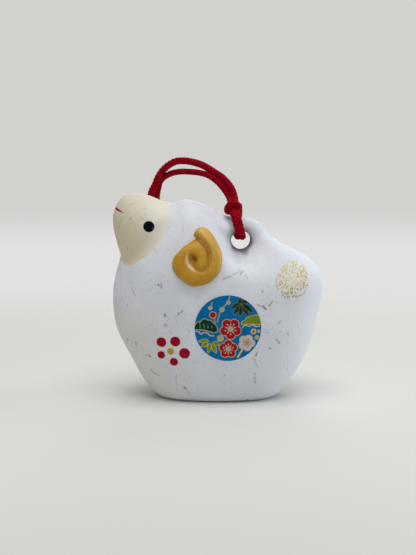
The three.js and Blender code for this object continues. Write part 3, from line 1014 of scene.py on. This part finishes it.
# Inks of the print
GOLD_INK = linear(226, 196, 122)
BLUE_INK = linear(0, 115, 178)
RED_INK = linear(178, 18, 38)
CREAM_INK = linear(186, 170, 134)
WHITE_INK = linear(206, 205, 199)
PINK_INK = linear(198, 72, 80)
DARK_GREEN_INK = linear(4, 62, 46)
LIGHT_GREEN_INK = linear(122, 144, 6)
NEEDLE_INK = linear(138, 140, 84)
TWIG_INK = linear(128, 104, 70)

# Widths of the drawn lines and leaves
TWIG_WIDTH = 0.015
TWIG_RIM_WIDTH = 0.032
DARK_LEAF_WIDTH = 0.125
LIGHT_LEAF_WIDTH = 0.11
BRANCH_WIDTH = 0.03
STEM_WIDTH = 0.05

# The drawing, from the middle of the roundel: twigs and leaves from root to tip, round buds with their inks,
# pine boughs with their ribs, branches under the boughs, and the stem of a blossom
TWIGS = [
    ((-0.405, 0.3), (-0.393, 0.168)), ((-0.238, 0.49), (-0.324, 0.206)), ((-0.05, 0.74), (-0.128, 0.66)),
    ((-0.5, 0.66), (-0.484, 0.8)), ((0.015, 0.83), (0.05, 0.96)),
]
BUDS = [
    ((-0.53, 0.625), 0.044, CREAM_INK), ((-0.455, 0.415), 0.088, RED_INK),
    ((-0.18, 0.578), 0.056, CREAM_INK), ((0.012, 0.79), 0.044, CREAM_INK),
    ((-0.224, -0.298), 0.084, CREAM_INK), ((0.77, -0.1), 0.068, WHITE_INK), ((0.77, -0.1), 0.04, RED_INK),
    ((0.93, -0.1), 0.032, CREAM_INK), ((0.875, -0.288), 0.05, CREAM_INK),
]
DARK_LEAVES = [
    ((0.38, 0.77), (0.1, 0.63)), ((0.4, 0.73), (0.17, 0.43)), ((0.42, 0.72), (0.35, 0.36)),
    ((0.4, 0.76), (0.33, 0.9)), ((0.4, 0.77), (0.6, 0.81)), ((0.43, 0.72), (0.62, 0.37)),
    ((0.44, 0.75), (0.76, 0.48)),
]
LIGHT_LEAVES = [
    ((-0.595, -0.374), (-0.87, -0.4)), ((-0.607, -0.438), (-0.796, -0.554)),
    ((-0.541, -0.451), (-0.59, -0.742)), ((-0.472, -0.477), (-0.354, -0.753)),
    ((-0.447, -0.438), (-0.256, -0.485)),
]
DARK_BOUGH = [
    (-1.02, -0.03), (-0.98, 0.1), (-0.9, 0.2), (-0.84, 0.185), (-0.78, 0.255), (-0.68, 0.29),
    (-0.6, 0.245), (-0.53, 0.25), (-0.45, 0.17), (-0.4, 0.14), (-0.33, 0.02), (-0.325, -0.08),
    (-0.398, -0.116), (-0.521, -0.09), (-0.644, -0.052), (-0.791, -0.026), (-0.914, -0.031),
]
DARK_RIBS = [((-0.83 + 0.12 * rib, 0.02), (-0.85 + 0.12 * rib, 0.17 - 0.03 * rib)) for rib in range(4)]
LIGHT_BOUGH = [
    (0.413, 0.129), (0.425, 0.206), (0.511, 0.245), (0.56, 0.309), (0.658, 0.361), (0.757, 0.374),
    (0.855, 0.399), (0.934, 0.348), (1.0, 0.206), (1.0, 0.129), (0.855, 0.124), (0.732, 0.134),
    (0.585, 0.142), (0.486, 0.124),
]
LIGHT_RIBS = [((0.54 + 0.1 * rib, 0.15), (0.58 + 0.095 * rib, 0.25 + 0.02 * rib)) for rib in range(4)]
BRANCHES = [
    [
        (-1, -0.09), (-0.865, -0.103), (-0.816, -0.168), (-0.717, -0.116), (-0.607, -0.142),
        (-0.545, -0.206), (-0.423, -0.219),
    ],
    [(0.437, 0.039), (0.536, 0.103), (0.634, 0.064), (0.757, 0.103), (0.83, 0.052), (0.953, 0.064)],
]
STEM = ((0.446, -0.64), (0.3, -0.885))

# Blossoms: centre, radius, lean in degrees, and the inks of petals, heart and stamens
BLOSSOMS = [
    ((0.565, -0.445), 0.25, -8, WHITE_INK, CREAM_INK, PINK_INK),
    ((0.01, -0.632), 0.285, 90, RED_INK, CREAM_INK, WHITE_INK),
    ((0.077, -0.01), 0.325, -90, RED_INK, CREAM_INK, WHITE_INK),
]


def print_pattern(places):
    """Pine, bamboo and plum on a blue ground."""
    paper = PaperPrint(places, BLUE_INK)
    for start, end in TWIGS:
        paper.lay(paper.line(start, end, TWIG_RIM_WIDTH), GOLD_INK, 1.0)
        paper.lay(paper.line(start, end, TWIG_WIDTH), TWIG_INK)
    for centre, radius, ink in BUDS:
        paper.rimmed(paper.disc(centre, radius), ink)
    for root, tip in DARK_LEAVES:
        paper.rimmed(paper.leaf(root, tip, DARK_LEAF_WIDTH), DARK_GREEN_INK, 0.0)
    for root, tip in LIGHT_LEAVES:
        paper.rimmed(paper.leaf(root, tip, LIGHT_LEAF_WIDTH), LIGHT_GREEN_INK)
    paper.pine(DARK_BOUGH, DARK_GREEN_INK, DARK_RIBS)
    paper.pine(LIGHT_BOUGH, LIGHT_GREEN_INK, LIGHT_RIBS)
    for marks in BRANCHES:
        paper.lay(paper.path(marks, BRANCH_WIDTH), GOLD_INK, 1.0)
    paper.lay(paper.line(*STEM, STEM_WIDTH), GOLD_INK, 1.0)
    for blossom in BLOSSOMS:
        paper.plum(*blossom)
    return paper.colour, paper.gilt


def near_roundel():
    """Printed paper disc that follows the flank, with its rim drawn in under the clay."""
    bm = bmesh.new()
    bmesh.ops.create_grid(bm, x_segments=PAPER_STEPS, y_segments=PAPER_STEPS, size=1)
    square = points_of(bm)[:, :2]
    disc = square * np.sqrt(1 - square[:, ::-1] ** 2 / 2)
    move_to(bm, over_skin(disc * ROUNDEL_RADIUS + ROUNDEL_PLACE, np.full(len(disc), PAPER_THICKNESS)))
    rims = [edge for edge in bm.edges if edge.is_boundary]
    close_below(bmesh.ops.extrude_edge_only(bm, edges=rims)["geom"], PASTE_DEPTH)
    bmesh.ops.recalc_face_normals(bm, faces=bm.faces)
    places = (points_of(bm)[:, [0, 2]] - ROUNDEL_PLACE) / ROUNDEL_RADIUS
    colour, gilt = print_pattern(places)
    mesh = mesh_of("near_paper", bm)
    inks = np.column_stack([colour, np.ones(len(colour))]).astype(np.float32)
    mesh.attributes.new("ink", "FLOAT_COLOR", "POINT").data.foreach_set("color", inks.ravel())
    return marked(mesh, {"gilt": gilt})


def pellet():
    """Loose ball of clay, slightly uneven."""
    bm = bmesh.new()
    bmesh.ops.create_icosphere(bm, subdivisions=PELLET_FINENESS, radius=PELLET_RADIUS)
    points = points_of(bm)
    x, y, z = (points / MM).T
    along, aside, up = PELLET_SWELL
    swell = 1 - PELLET_UNEVENNESS * (1 + np.sin(x / along) * np.sin(y / aside + z / up))
    low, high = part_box("pellet")
    move_to(bm, points * swell[:, None] + np.array((low + high) / 2))
    return mesh_of("pellet_ball", bm)


# Finishes

# Where the paint is scuffed: strokes seen from the side, each from along and up to along and up, in
# millimetres, with its half width and strength
SCUFFS = [
    (-30.2, 64.8, -30, 63.9, 0.28, 0.45), (-29.3, 62.7, -28.1, 60.7, 0.2, 0.3),
    (-26.8, 64.8, -25.9, 64.2, 0.22, 0.55), (-12.1, 62, -11.9, 59.8, 0.2, 0.3),
    (-30.6, 43.4, -30.3, 41.7, 0.2, 0.35), (-29.7, 40.4, -28.5, 37.6, 0.24, 0.55),
    (-33.3, 36.8, -32.9, 35.1, 0.2, 0.4), (-20.5, 42, -20.3, 41.8, 0.42, 0.9),
    (-19.5, 42.4, -19.2, 41, 0.28, 0.6), (-20.3, 39.1, -20.2, 38.8, 0.25, 0.5),
    (-18.1, 31.9, -18, 31.3, 0.4, 0.9), (-13.4, 32.3, -13.2, 32.4, 0.42, 0.9),
    (-12.4, 33, -12.1, 33.2, 0.35, 0.9), (-14.1, 31.5, -14, 29.2, 0.2, 0.3),
    (-18.3, 28.3, -17.5, 28.1, 0.5, 0.4), (-31.7, 21.7, -31.6, 21.5, 0.42, 0.9),
    (-28.8, 21.2, -28.5, 19.7, 0.3, 0.5), (-30, 21.6, -29.8, 20.4, 0.22, 0.35),
    (-25.5, 16.6, -25.4, 16.5, 0.28, 0.6), (-23.9, 16.7, -23.6, 16.5, 0.4, 0.95),
    (-23.5, 11.4, -20.7, 9.6, 0.28, 0.7), (-19.1, 14.2, -17, 12.6, 0.18, 0.4),
    (-14.4, 10.7, -14.3, 6.5, 0.25, 0.4), (-11.6, 5.9, -11.2, 5.4, 0.42, 0.9),
    (-11.2, 5.4, -9.6, 3.1, 0.25, 0.5), (-7, 6.9, -6.8, 4.9, 0.2, 0.3), (10.2, 1, 10.5, 0.6, 0.35, 0.9),
    (12.6, 11, 12.8, 7.2, 0.35, 0.5), (12.2, 16.6, 13.6, 13.5, 0.3, 0.5), (12.8, 17.5, 13.4, 18.9, 0.3, 0.8),
    (17.8, 20, 18, 19.8, 0.35, 0.8), (19.9, 23, 21.1, 21.8, 0.32, 0.8), (23.8, 25, 24.1, 24.4, 0.4, 0.4),
    (15, 39.8, 15.2, 39.6, 0.35, 0.7), (15.1, 34.9, 16, 33.9, 0.45, 0.9), (17.4, 35, 18.3, 36.2, 0.35, 0.8),
    (13.1, 35.5, 15.1, 34.6, 0.25, 0.6), (1.3, 44, 3.6, 44.8, 0.3, 0.6), (3.6, 44.8, 7.5, 46.9, 0.25, 0.5),
    (7.5, 45.6, 8.6, 46.6, 0.3, 0.7), (9.2, 45.3, 10, 43.9, 0.25, 0.5),
    (-30.5, 68.6, -29.6, 69.2, 0.22, 0.4), (-25.6, 67.6, -24.6, 67.4, 0.22, 0.4),
    (-31.6, 54.6, -31.3, 53.8, 0.25, 0.35), (-21.8, 54, -21.5, 53.4, 0.25, 0.35),
    (-16.2, 25.8, -15.4, 25.2, 0.25, 0.4), (20.5, 28.5, 21.2, 29.6, 0.25, 0.5),
    (-10.4, 27.2, -9.8, 26.2, 0.25, 0.4), (16, 26.4, 16.8, 25.4, 0.25, 0.5),
]

# Painted dots on the flank round a gold one, and the eye: along, up and radius
RED_DOTS = [
    (-19.45, 22.1, 1.72), (-14.65, 22.6, 1.75), (-11.5, 18.5, 1.88), (-15.2, 15.25, 1.45),
    (-19.55, 17.5, 1.35),
]
GOLD_DOT = (-16.3, 18.95, 1.2)
EYE = (-23.8, 61.45, 1.92)
MARK_EDGE = 0.12

# The mouth's stroke from the nose back, and its half width: at the nose, then by the run and its square
MOUTH = ((-37.6, 0.0, 68.1), (-32.6, 0.0, 65.95))
MOUTH_SWELL = (0.38, 0.45, 0.82)

# The stamp's place and half sizes, its dabs in a radian and in a radius, and the shift of each layer of dabs
STAMP = (25.5, 43.2, 6.3, 6.8)
STAMP_RAYS = 6.2
STAMP_RINGS = 7.5
STAMP_LAYERS = (0.0, 17.0)
DAB_RADIUS = 0.42

# Dirt and painted shade over the hole, painted shade on its lip: place, and how far out each starts and ends
# to fade
HOLE_DIRT_AND_SHADE = (9.4, 0.0, 58.4)
DIRT_AND_SHADE_FADE = (3.0, 7.0)
HOLE_LIP_SHADE = (9.5, 0.0, 52.3)
LIP_SHADE_FADE = (0.4, 1.9)

# Where the paint and its painted light and shade change, as the two ends of each change, in millimetres: up,
# along or aslant, and for the lip's fade from the edge of the face
DARKENING_HEIGHT = (2.0, 34.0)
CHEST_HEIGHT = (22.0, 40.0)
CHEST_LENGTH = (-26.0, -8.0)
TAIL_LENGTH = (24.0, 36.0)
CHEEK_LENGTH = (-17.0, -3.0)
MUZZLE_HEIGHT = (61.0, 71.0)
MUZZLE_LENGTH = (-29.0, -19.0)
LIP_HEIGHT = (47.0, 54.0)
LIP_FADE = (0.1, 0.8)
HORN_SHEEN_HEIGHT = (46.0, 57.0)

# Colours of the paint on the clay, with painted light and shade among them
CLEAN_WHITE = linear(235, 239, 248)
CLOUDED_WHITE = linear(226, 230, 240)
DARKER_LOW_WHITE = linear(221, 224, 231)
CHEST_WHITE = linear(224, 223, 217)
TAIL_WHITE = linear(243, 247, 253)
GRAIN_WHITE = linear(211, 214, 223)
NOSE_TAN_AND_SHADE = linear(230, 218, 192)
CHEEK_CREAM = linear(240, 235, 222)
MUZZLE_CREAM = linear(222, 216, 203)
LIP_CREAM_AND_HIGHLIGHT = linear(238, 226, 204)
STAMP_GLOW = linear(242, 237, 206)
STAMP_SHADED_GOLD = linear(190, 152, 52)
STAMP_LIT_GOLD = linear(226, 205, 114)
DOT_GOLD = linear(196, 156, 66)
DOT_RED = linear(164, 8, 40)
MOUTH_RED = linear(172, 22, 44)
EYE_BLACK = linear(4, 8, 15)
DIRT_AND_SHADE_GREY = linear(112, 106, 120)
LIP_SHADE_BROWN = linear(146, 112, 104)
SPECK_GREY = linear(116, 118, 128)
SCUFF_GREY = linear(84, 84, 94)

# Colours of bare clay, the horn's gold, the paper's fibres and the yarn, with painted light and shade on horn
# and yarn
LIGHT_CLAY = linear(176, 152, 124)
DARK_CLAY = linear(142, 116, 90)
LIGHT_PELLET = linear(188, 164, 134)
DARK_PELLET = linear(150, 122, 94)
HORN_GOLD = linear(202, 153, 40)
DEEP_GOLD = linear(188, 135, 18)
STREAK_AND_SHEEN_GOLD = linear(226, 190, 112)
GROOVE_SHADE_GOLD = linear(142, 92, 14)
HIGHLIGHT_GOLD = linear(246, 230, 186)
PAPER_FIBRE = linear(4, 58, 106)
DARK_FIBRE = linear(134, 1, 19)
BRIGHT_FIBRE = linear(198, 5, 39)
SHADED_YARN = linear(112, 1, 17)
YARN_CREASE_SHADE = linear(44, 0, 5)


def spot(look, side, along, up, radius, wobble=0.0):
    """A round mark seen from the side."""
    away = look.apart(side, (along, 0.0, up)) + wobble
    return (radius - away).ramp(-MARK_EDGE, MARK_EDGE)


def gold_stamp(look, x, z, paint):
    """Gold dabs that stand like rays round a pale middle, paler toward the top as painted highlight."""
    along, up, half_length, half_height = STAMP
    aside, rise = x - along, z - up
    away = ((aside / half_length).math("POWER", 2.0) + (rise / half_height).math("POWER", 2.0)).math("SQRT")
    rays = look.vector(rise.math("ARCTAN2", aside) * STAMP_RAYS, 0.0, away * STAMP_RINGS)
    paint = look.mix((1 - away.ramp(0.2, 0.85)) * 0.55, paint, STAMP_GLOW)
    # Painted highlight: the stamp's gold is paler toward its top
    gold = look.mix((rise / half_height).ramp(-0.9, 0.9), STAMP_SHADED_GOLD, STAMP_LIT_GOLD)
    for shift in STAMP_LAYERS:
        place = look.vector_math("ADD", rays, (shift, shift, shift))
        dab = look.add("ShaderNodeTexVoronoi", {}, Vector=place, Scale=1.0)
        cell = look.add("ShaderNodeTexVoronoi", {}, Vector=place, Scale=1.0, result="Color")
        chance = look.add("ShaderNodeSeparateColor", {}, cell)
        kept = (away.ramp(0.1, 0.6) * 0.6 + 0.3 - chance).ramp(-0.05, 0.1)
        share = kept * (1 - away.ramp(0.85, 1.05))
        paint = look.mix((DAB_RADIUS - dab).ramp(-0.1, 0.1) * share * 0.8, paint, gold)
    return paint


def scuff_marks(look, place, side):
    """Dark rubbed strokes, bent and broken up a little."""
    bend = look.add("ShaderNodeTexNoise", {}, Vector=place, Scale=0.7, Detail=3.0, result="Color")
    bent = look.vector_math("ADD", side, look.vector_math("SUBTRACT", bend, (0.5, 0.5, 0.5)))
    flat = look.vector_math("MULTIPLY", bent, (1.0, 0.0, 1.0))
    ragged = (look.noise(place, 1.7, 4.0, 0.7) - 0.5) * 1.3
    worn = None
    for start_along, start_up, end_along, end_up, half_width, strength in SCUFFS:
        away = look.along(flat, (start_along, 0.0, start_up), (end_along, 0.0, end_up))[1]
        mark = (half_width + ragged - away).ramp(-0.2, 0.4) * strength
        worn = worn.larger(mark) if worn else mark
    return worn


def faint_specks(look, place):
    """Small faint rubs that come in patches."""
    patch = look.noise(place, 0.12, 2.0).ramp(0.4, 0.6)
    drawn = look.vector_math("MULTIPLY", place, (1.0, 1.0, 0.6))
    return look.noise(drawn, 1.1, 4.0, 0.7).ramp(0.59, 0.72) * patch


def white_paint(look, x, z, cloud, grain):
    """White of the wool, darker toward the foot, warmer at the chest and whiter toward the tail."""
    white = look.mix(cloud.ramp(0.35, 0.7), CLEAN_WHITE, CLOUDED_WHITE)
    white = look.mix((1 - z.ramp(*DARKENING_HEIGHT)) * 0.6, white, DARKER_LOW_WHITE)
    toward_chest = (1 - x.ramp(*CHEST_LENGTH)) * (1 - z.ramp(*CHEST_HEIGHT))
    white = look.mix(toward_chest * 0.7, white, CHEST_WHITE)
    white = look.mix(x.ramp(*TAIL_LENGTH) * 0.8, white, TAIL_WHITE)
    return look.mix(grain.ramp(0.5, 0.85) * 0.35, white, GRAIN_WHITE)


def cream_paint(look, x, z, depth):
    """Face cream: tan and painted shade toward the nose, greyer muzzle top, lighter lip at the throat."""
    # Darker toward the nose: partly airbrushed tan, partly painted shade
    cream = look.mix((x + z * 0.25).ramp(*CHEEK_LENGTH), NOSE_TAN_AND_SHADE, CHEEK_CREAM)
    muzzle_top = z.ramp(*MUZZLE_HEIGHT) * (1 - x.ramp(*MUZZLE_LENGTH))
    cream = look.mix(muzzle_top * 0.8, cream, MUZZLE_CREAM)
    # Lighter lip along the throat: partly a rim of paint, partly painted highlight on the chin's edge
    lip_and_highlight = (1 - (depth - 0.5).math("ABSOLUTE").ramp(*LIP_FADE)) * (1 - z.ramp(*LIP_HEIGHT)) * 0.6
    return look.mix(lip_and_highlight, cream, LIP_CREAM_AND_HIGHLIGHT)


def hole_smudges(look, side, cloud, paint):
    """Thin grey over the cord hole, partly dirt and partly painted shade, and painted shade on its lower lip.
    """
    # Grey over the hole: partly dirt, partly painted shade in the dent
    dirt_and_shade = (1 - look.apart(side, HOLE_DIRT_AND_SHADE).ramp(*DIRT_AND_SHADE_FADE)) * cloud.ramp(0.25, 0.6) * 0.2
    paint = look.mix(dirt_and_shade, paint, DIRT_AND_SHADE_GREY)
    # Painted shade on the hole's lower lip, where its wall turns inward
    lip_shade = (1 - look.apart(side, HOLE_LIP_SHADE).ramp(*LIP_SHADE_FADE)) * 0.5
    return look.mix(lip_shade, paint, LIP_SHADE_BROWN)


def brushed_marks(look, side, wobble, outside, paint):
    """Dots on the flank, the mouth and the eye."""
    paint = look.mix(spot(look, side, *GOLD_DOT, wobble) * outside, paint, DOT_GOLD)
    for dot in RED_DOTS:
        paint = look.mix(spot(look, side, *dot, wobble) * outside, paint, DOT_RED)
    run, stroke = look.along(side, *MOUTH)
    start, swell, taper = MOUTH_SWELL
    mouth = (start + run * swell - run * run * taper - stroke).ramp(-0.1, 0.1)
    paint = look.mix(mouth, paint, MOUTH_RED)
    return look.mix(spot(look, side, *EYE), paint, EYE_BLACK)


def painted_clay():
    """Matt white paint on clay, with the painted face, stamp, dots, mouth, eye and scuffs, and painted light
    and shade.
    """
    look = finish("painted_clay")
    place = look.place()
    x, _, z = look.split(place)
    side = look.vector(x, 0.0, z)
    cloud = look.noise(place, 0.09, 4.0)
    grain = look.noise(place, 1.1, 4.0)
    outside = 1 - look.attribute("bare")
    wobble = (grain - 0.5) * 0.35
    depth = look.attribute("face")
    face = (depth + wobble).ramp(-0.5, 0.5)
    paint = look.mix(face, white_paint(look, x, z, cloud, grain), cream_paint(look, x, z, depth))
    paint = hole_smudges(look, side, cloud, paint)
    paint = look.mix(outside, paint, gold_stamp(look, x, z, paint))
    paint = brushed_marks(look, side, wobble, outside, paint)
    worn = scuff_marks(look, place, side)
    paint = look.mix(faint_specks(look, place) * 0.6, paint, SPECK_GREY)
    paint = look.mix(worn * 0.8, paint, SCUFF_GREY)
    clay = look.mix(grain.ramp(0.3, 0.8), LIGHT_CLAY, DARK_CLAY)
    return look.surface(
        Base_Color=look.mix(outside, clay, paint),
        Roughness=0.66 + cloud * 0.1,
        Specular_IOR_Level=0.06,
        Normal=look.bump(grain * 0.6 - worn * 0.4, 0.12, 0.3 * MM),
    )


def gold_paint():
    """Brushed gold paint on the horn: painted sheen at its tip, shade in the groove and a highlight beside
    it.
    """
    look = finish("gold_paint")
    place = look.place()
    x, y, z = look.split(place)
    brush = look.noise(look.vector(x * 0.5, y, z * 1.6), 1.2, 4.0, 0.6)
    cloud = look.noise(place, 0.22, 3.0)
    colour = look.mix(cloud.ramp(0.3, 0.7), HORN_GOLD, DEEP_GOLD)
    # Painted sheen: the gold is paler toward the tip, where the top light falls
    colour = look.mix((z + x * 0.8).ramp(*HORN_SHEEN_HEIGHT) * 0.4, colour, STREAK_AND_SHEEN_GOLD)
    # Paler brush streaks, in the same colour as the painted sheen
    colour = look.mix(brush.ramp(0.5, 0.8) * 0.5, colour, STREAK_AND_SHEEN_GOLD)
    # Painted shade in the groove and its pit
    colour = look.mix(look.attribute("hollow") * 0.75, colour, GROOVE_SHADE_GOLD)
    # Painted highlight on the edge beside the groove
    colour = look.mix(look.attribute("highlight") * 0.9, colour, HIGHLIGHT_GOLD)
    return look.surface(
        Base_Color=colour,
        Metallic=0.24,
        Roughness=0.38 + brush * 0.22,
        Specular_IOR_Level=0.4,
        Normal=look.bump(brush, 0.14, 0.2 * MM),
    )


def printed_paper():
    """Blue printed paper with gold ink, pasted down."""
    look = finish("printed_paper")
    fibre = look.noise(look.place(), 2.2, 5.0, 0.65)
    gilt = look.attribute("gilt")
    ink = look.attribute("ink", "Color")
    return look.surface(
        Base_Color=look.mix(fibre.ramp(0.45, 0.85) * 0.35, ink, PAPER_FIBRE),
        Metallic=gilt * 0.3,
        Roughness=0.66 - gilt * 0.2,
        Specular_IOR_Level=0.05,
        Normal=look.bump(fibre + gilt * 0.5, 0.25, 0.2 * MM),
    )


def raw_clay():
    """Bare fired clay of the pellet."""
    look = finish("raw_clay")
    grain = look.noise(look.place(), 0.9, 5.0, 0.6)
    return look.surface(
        Base_Color=look.mix(grain.ramp(0.3, 0.75), LIGHT_PELLET, DARK_PELLET),
        Roughness=0.85 + grain * 0.1,
        Normal=look.bump(grain, 0.4, 0.4 * MM),
    )


def red_yarn():
    """Red yarn with fibres along each strand, with painted shade on its sides and in the creases between
    strands.
    """
    look = finish("red_yarn")
    run, turn, _ = look.split(look.add("ShaderNodeUVMap", {"uv_map": "yarn"}))
    fibres = look.noise(look.vector(turn * 9.0, run * 60.0, 0.0), 1.0, 3.0, 0.6)
    shade = look.noise(look.place(), 0.5, 2.0)
    crown = (turn - 0.25).math("ABSOLUTE")
    colour = look.mix(fibres.ramp(0.3, 0.7), DARK_FIBRE, BRIGHT_FIBRE)
    colour = look.mix(shade.ramp(0.4, 0.75) * 0.5, colour, SHADED_YARN)
    # Painted shade: each yarn is darkened away from its crown, into the creases between strands
    colour = look.mix(crown.ramp(0.06, 0.2) * 0.95, colour, YARN_CREASE_SHADE)
    return look.surface(
        Base_Color=colour,
        Roughness=0.65 + fibres * 0.15,
        Specular_IOR_Level=0.05,
        Normal=look.bump(fibres, 0.3, 0.1 * MM),
    )


# Stage

FLOOR_RADIUS = 1.2
FLOOR_SIDES = 64
FLOOR_DROP = 0.05 * MM
FLOOR_FRONT = (-210.0, -90.0)
FLOOR_FADE = (90.0, 380.0)
FRONT_GREY = linear(218, 217, 214)
FLOOR_GREY = linear(231, 231, 229)
LOW_WALL_GREY = linear(225, 225, 224)
WALL_GREY = linear(209, 209, 206)
WALL_CHANGE = (-0.08, -0.04)


def floor():
    """Pale floor that fades into the background."""
    bm = bmesh.new()
    bmesh.ops.create_circle(bm, cap_ends=True, segments=FLOOR_SIDES, radius=FLOOR_RADIUS)
    bmesh.ops.translate(bm, verts=bm.verts, vec=(0, 0, -FLOOR_DROP))
    look = finish("floor")
    x, y, _ = look.split(look.place())
    away = (x * x + y * y).math("SQRT")
    pale = look.mix(y.ramp(*FLOOR_FRONT), FRONT_GREY, FLOOR_GREY)
    colour = look.add("ShaderNodeBsdfDiffuse", {}, Color=pale)
    clear = look.add("ShaderNodeBsdfTransparent", {})
    shown = look.add("ShaderNodeMixShader", {}, away.ramp(*FLOOR_FADE), colour, clear)
    look.add("ShaderNodeOutputMaterial", {}, Surface=shown)
    mesh = mesh_of("floor", bm)
    mesh.materials.append(look.owner)
    ground = bpy.data.objects.new("floor", mesh)
    bpy.context.scene.collection.objects.link(ground)


def backdrop():
    """World that lights softly all round, and shows a pale wall that is brighter low down."""
    world = bpy.data.worlds.new("studio")
    bpy.context.scene.world = world
    look = Finish(world)
    rise = look.split(look.add("ShaderNodeTexCoord", {}, result="Generated"))[2]
    wall = look.mix(rise.ramp(*WALL_CHANGE), LOW_WALL_GREY, WALL_GREY)
    kinds = ("Is Camera Ray", "Is Glossy Ray", "Is Transmission Ray")
    camera_ray, glossy_ray, passed_ray = (look.add("ShaderNodeLightPath", {}, result=kind) for kind in kinds)
    seen = camera_ray.larger(glossy_ray).larger(passed_ray)
    room = look.add("ShaderNodeBackground", {}, Color=ROOM_TINT, Strength=ROOM_LIGHT)
    pale = look.add("ShaderNodeBackground", {}, Color=wall, Strength=1.0)
    look.add("ShaderNodeOutputWorld", {}, Surface=look.add("ShaderNodeMixShader", {}, seen, room, pale))


def studio():
    """Plain view settings, the room and its lamps."""
    bpy.context.scene.view_settings.view_transform = "Standard"
    backdrop()
    for lamp in LAMPS:
        soft_lamp(*lamp)


def on_both_sides(near, far_name, material, slot, near_node, far_node):
    """A piece on the shown side of the body, and its mirror image on the far side."""
    far = mirrored(near, far_name)
    piece(near, material, "body", slot, near_node)
    piece(far, material, "body", slot, far_node)


camera()
studio()
floor()
cord(red_yarn())
on_both_sides(near_clay(), "far_clay", painted_clay(), "painted_clay", "near_shell", "far_shell")
on_both_sides(near_horn(), "far_horn_relief", gold_paint(), "gold_relief", "near_horn", "far_horn")
on_both_sides(near_roundel(), "far_paper", printed_paper(), "patterned_paper", "near_roundel", "far_roundel")
piece(pellet(), raw_clay(), "pellet", "raw_clay", "pellet")
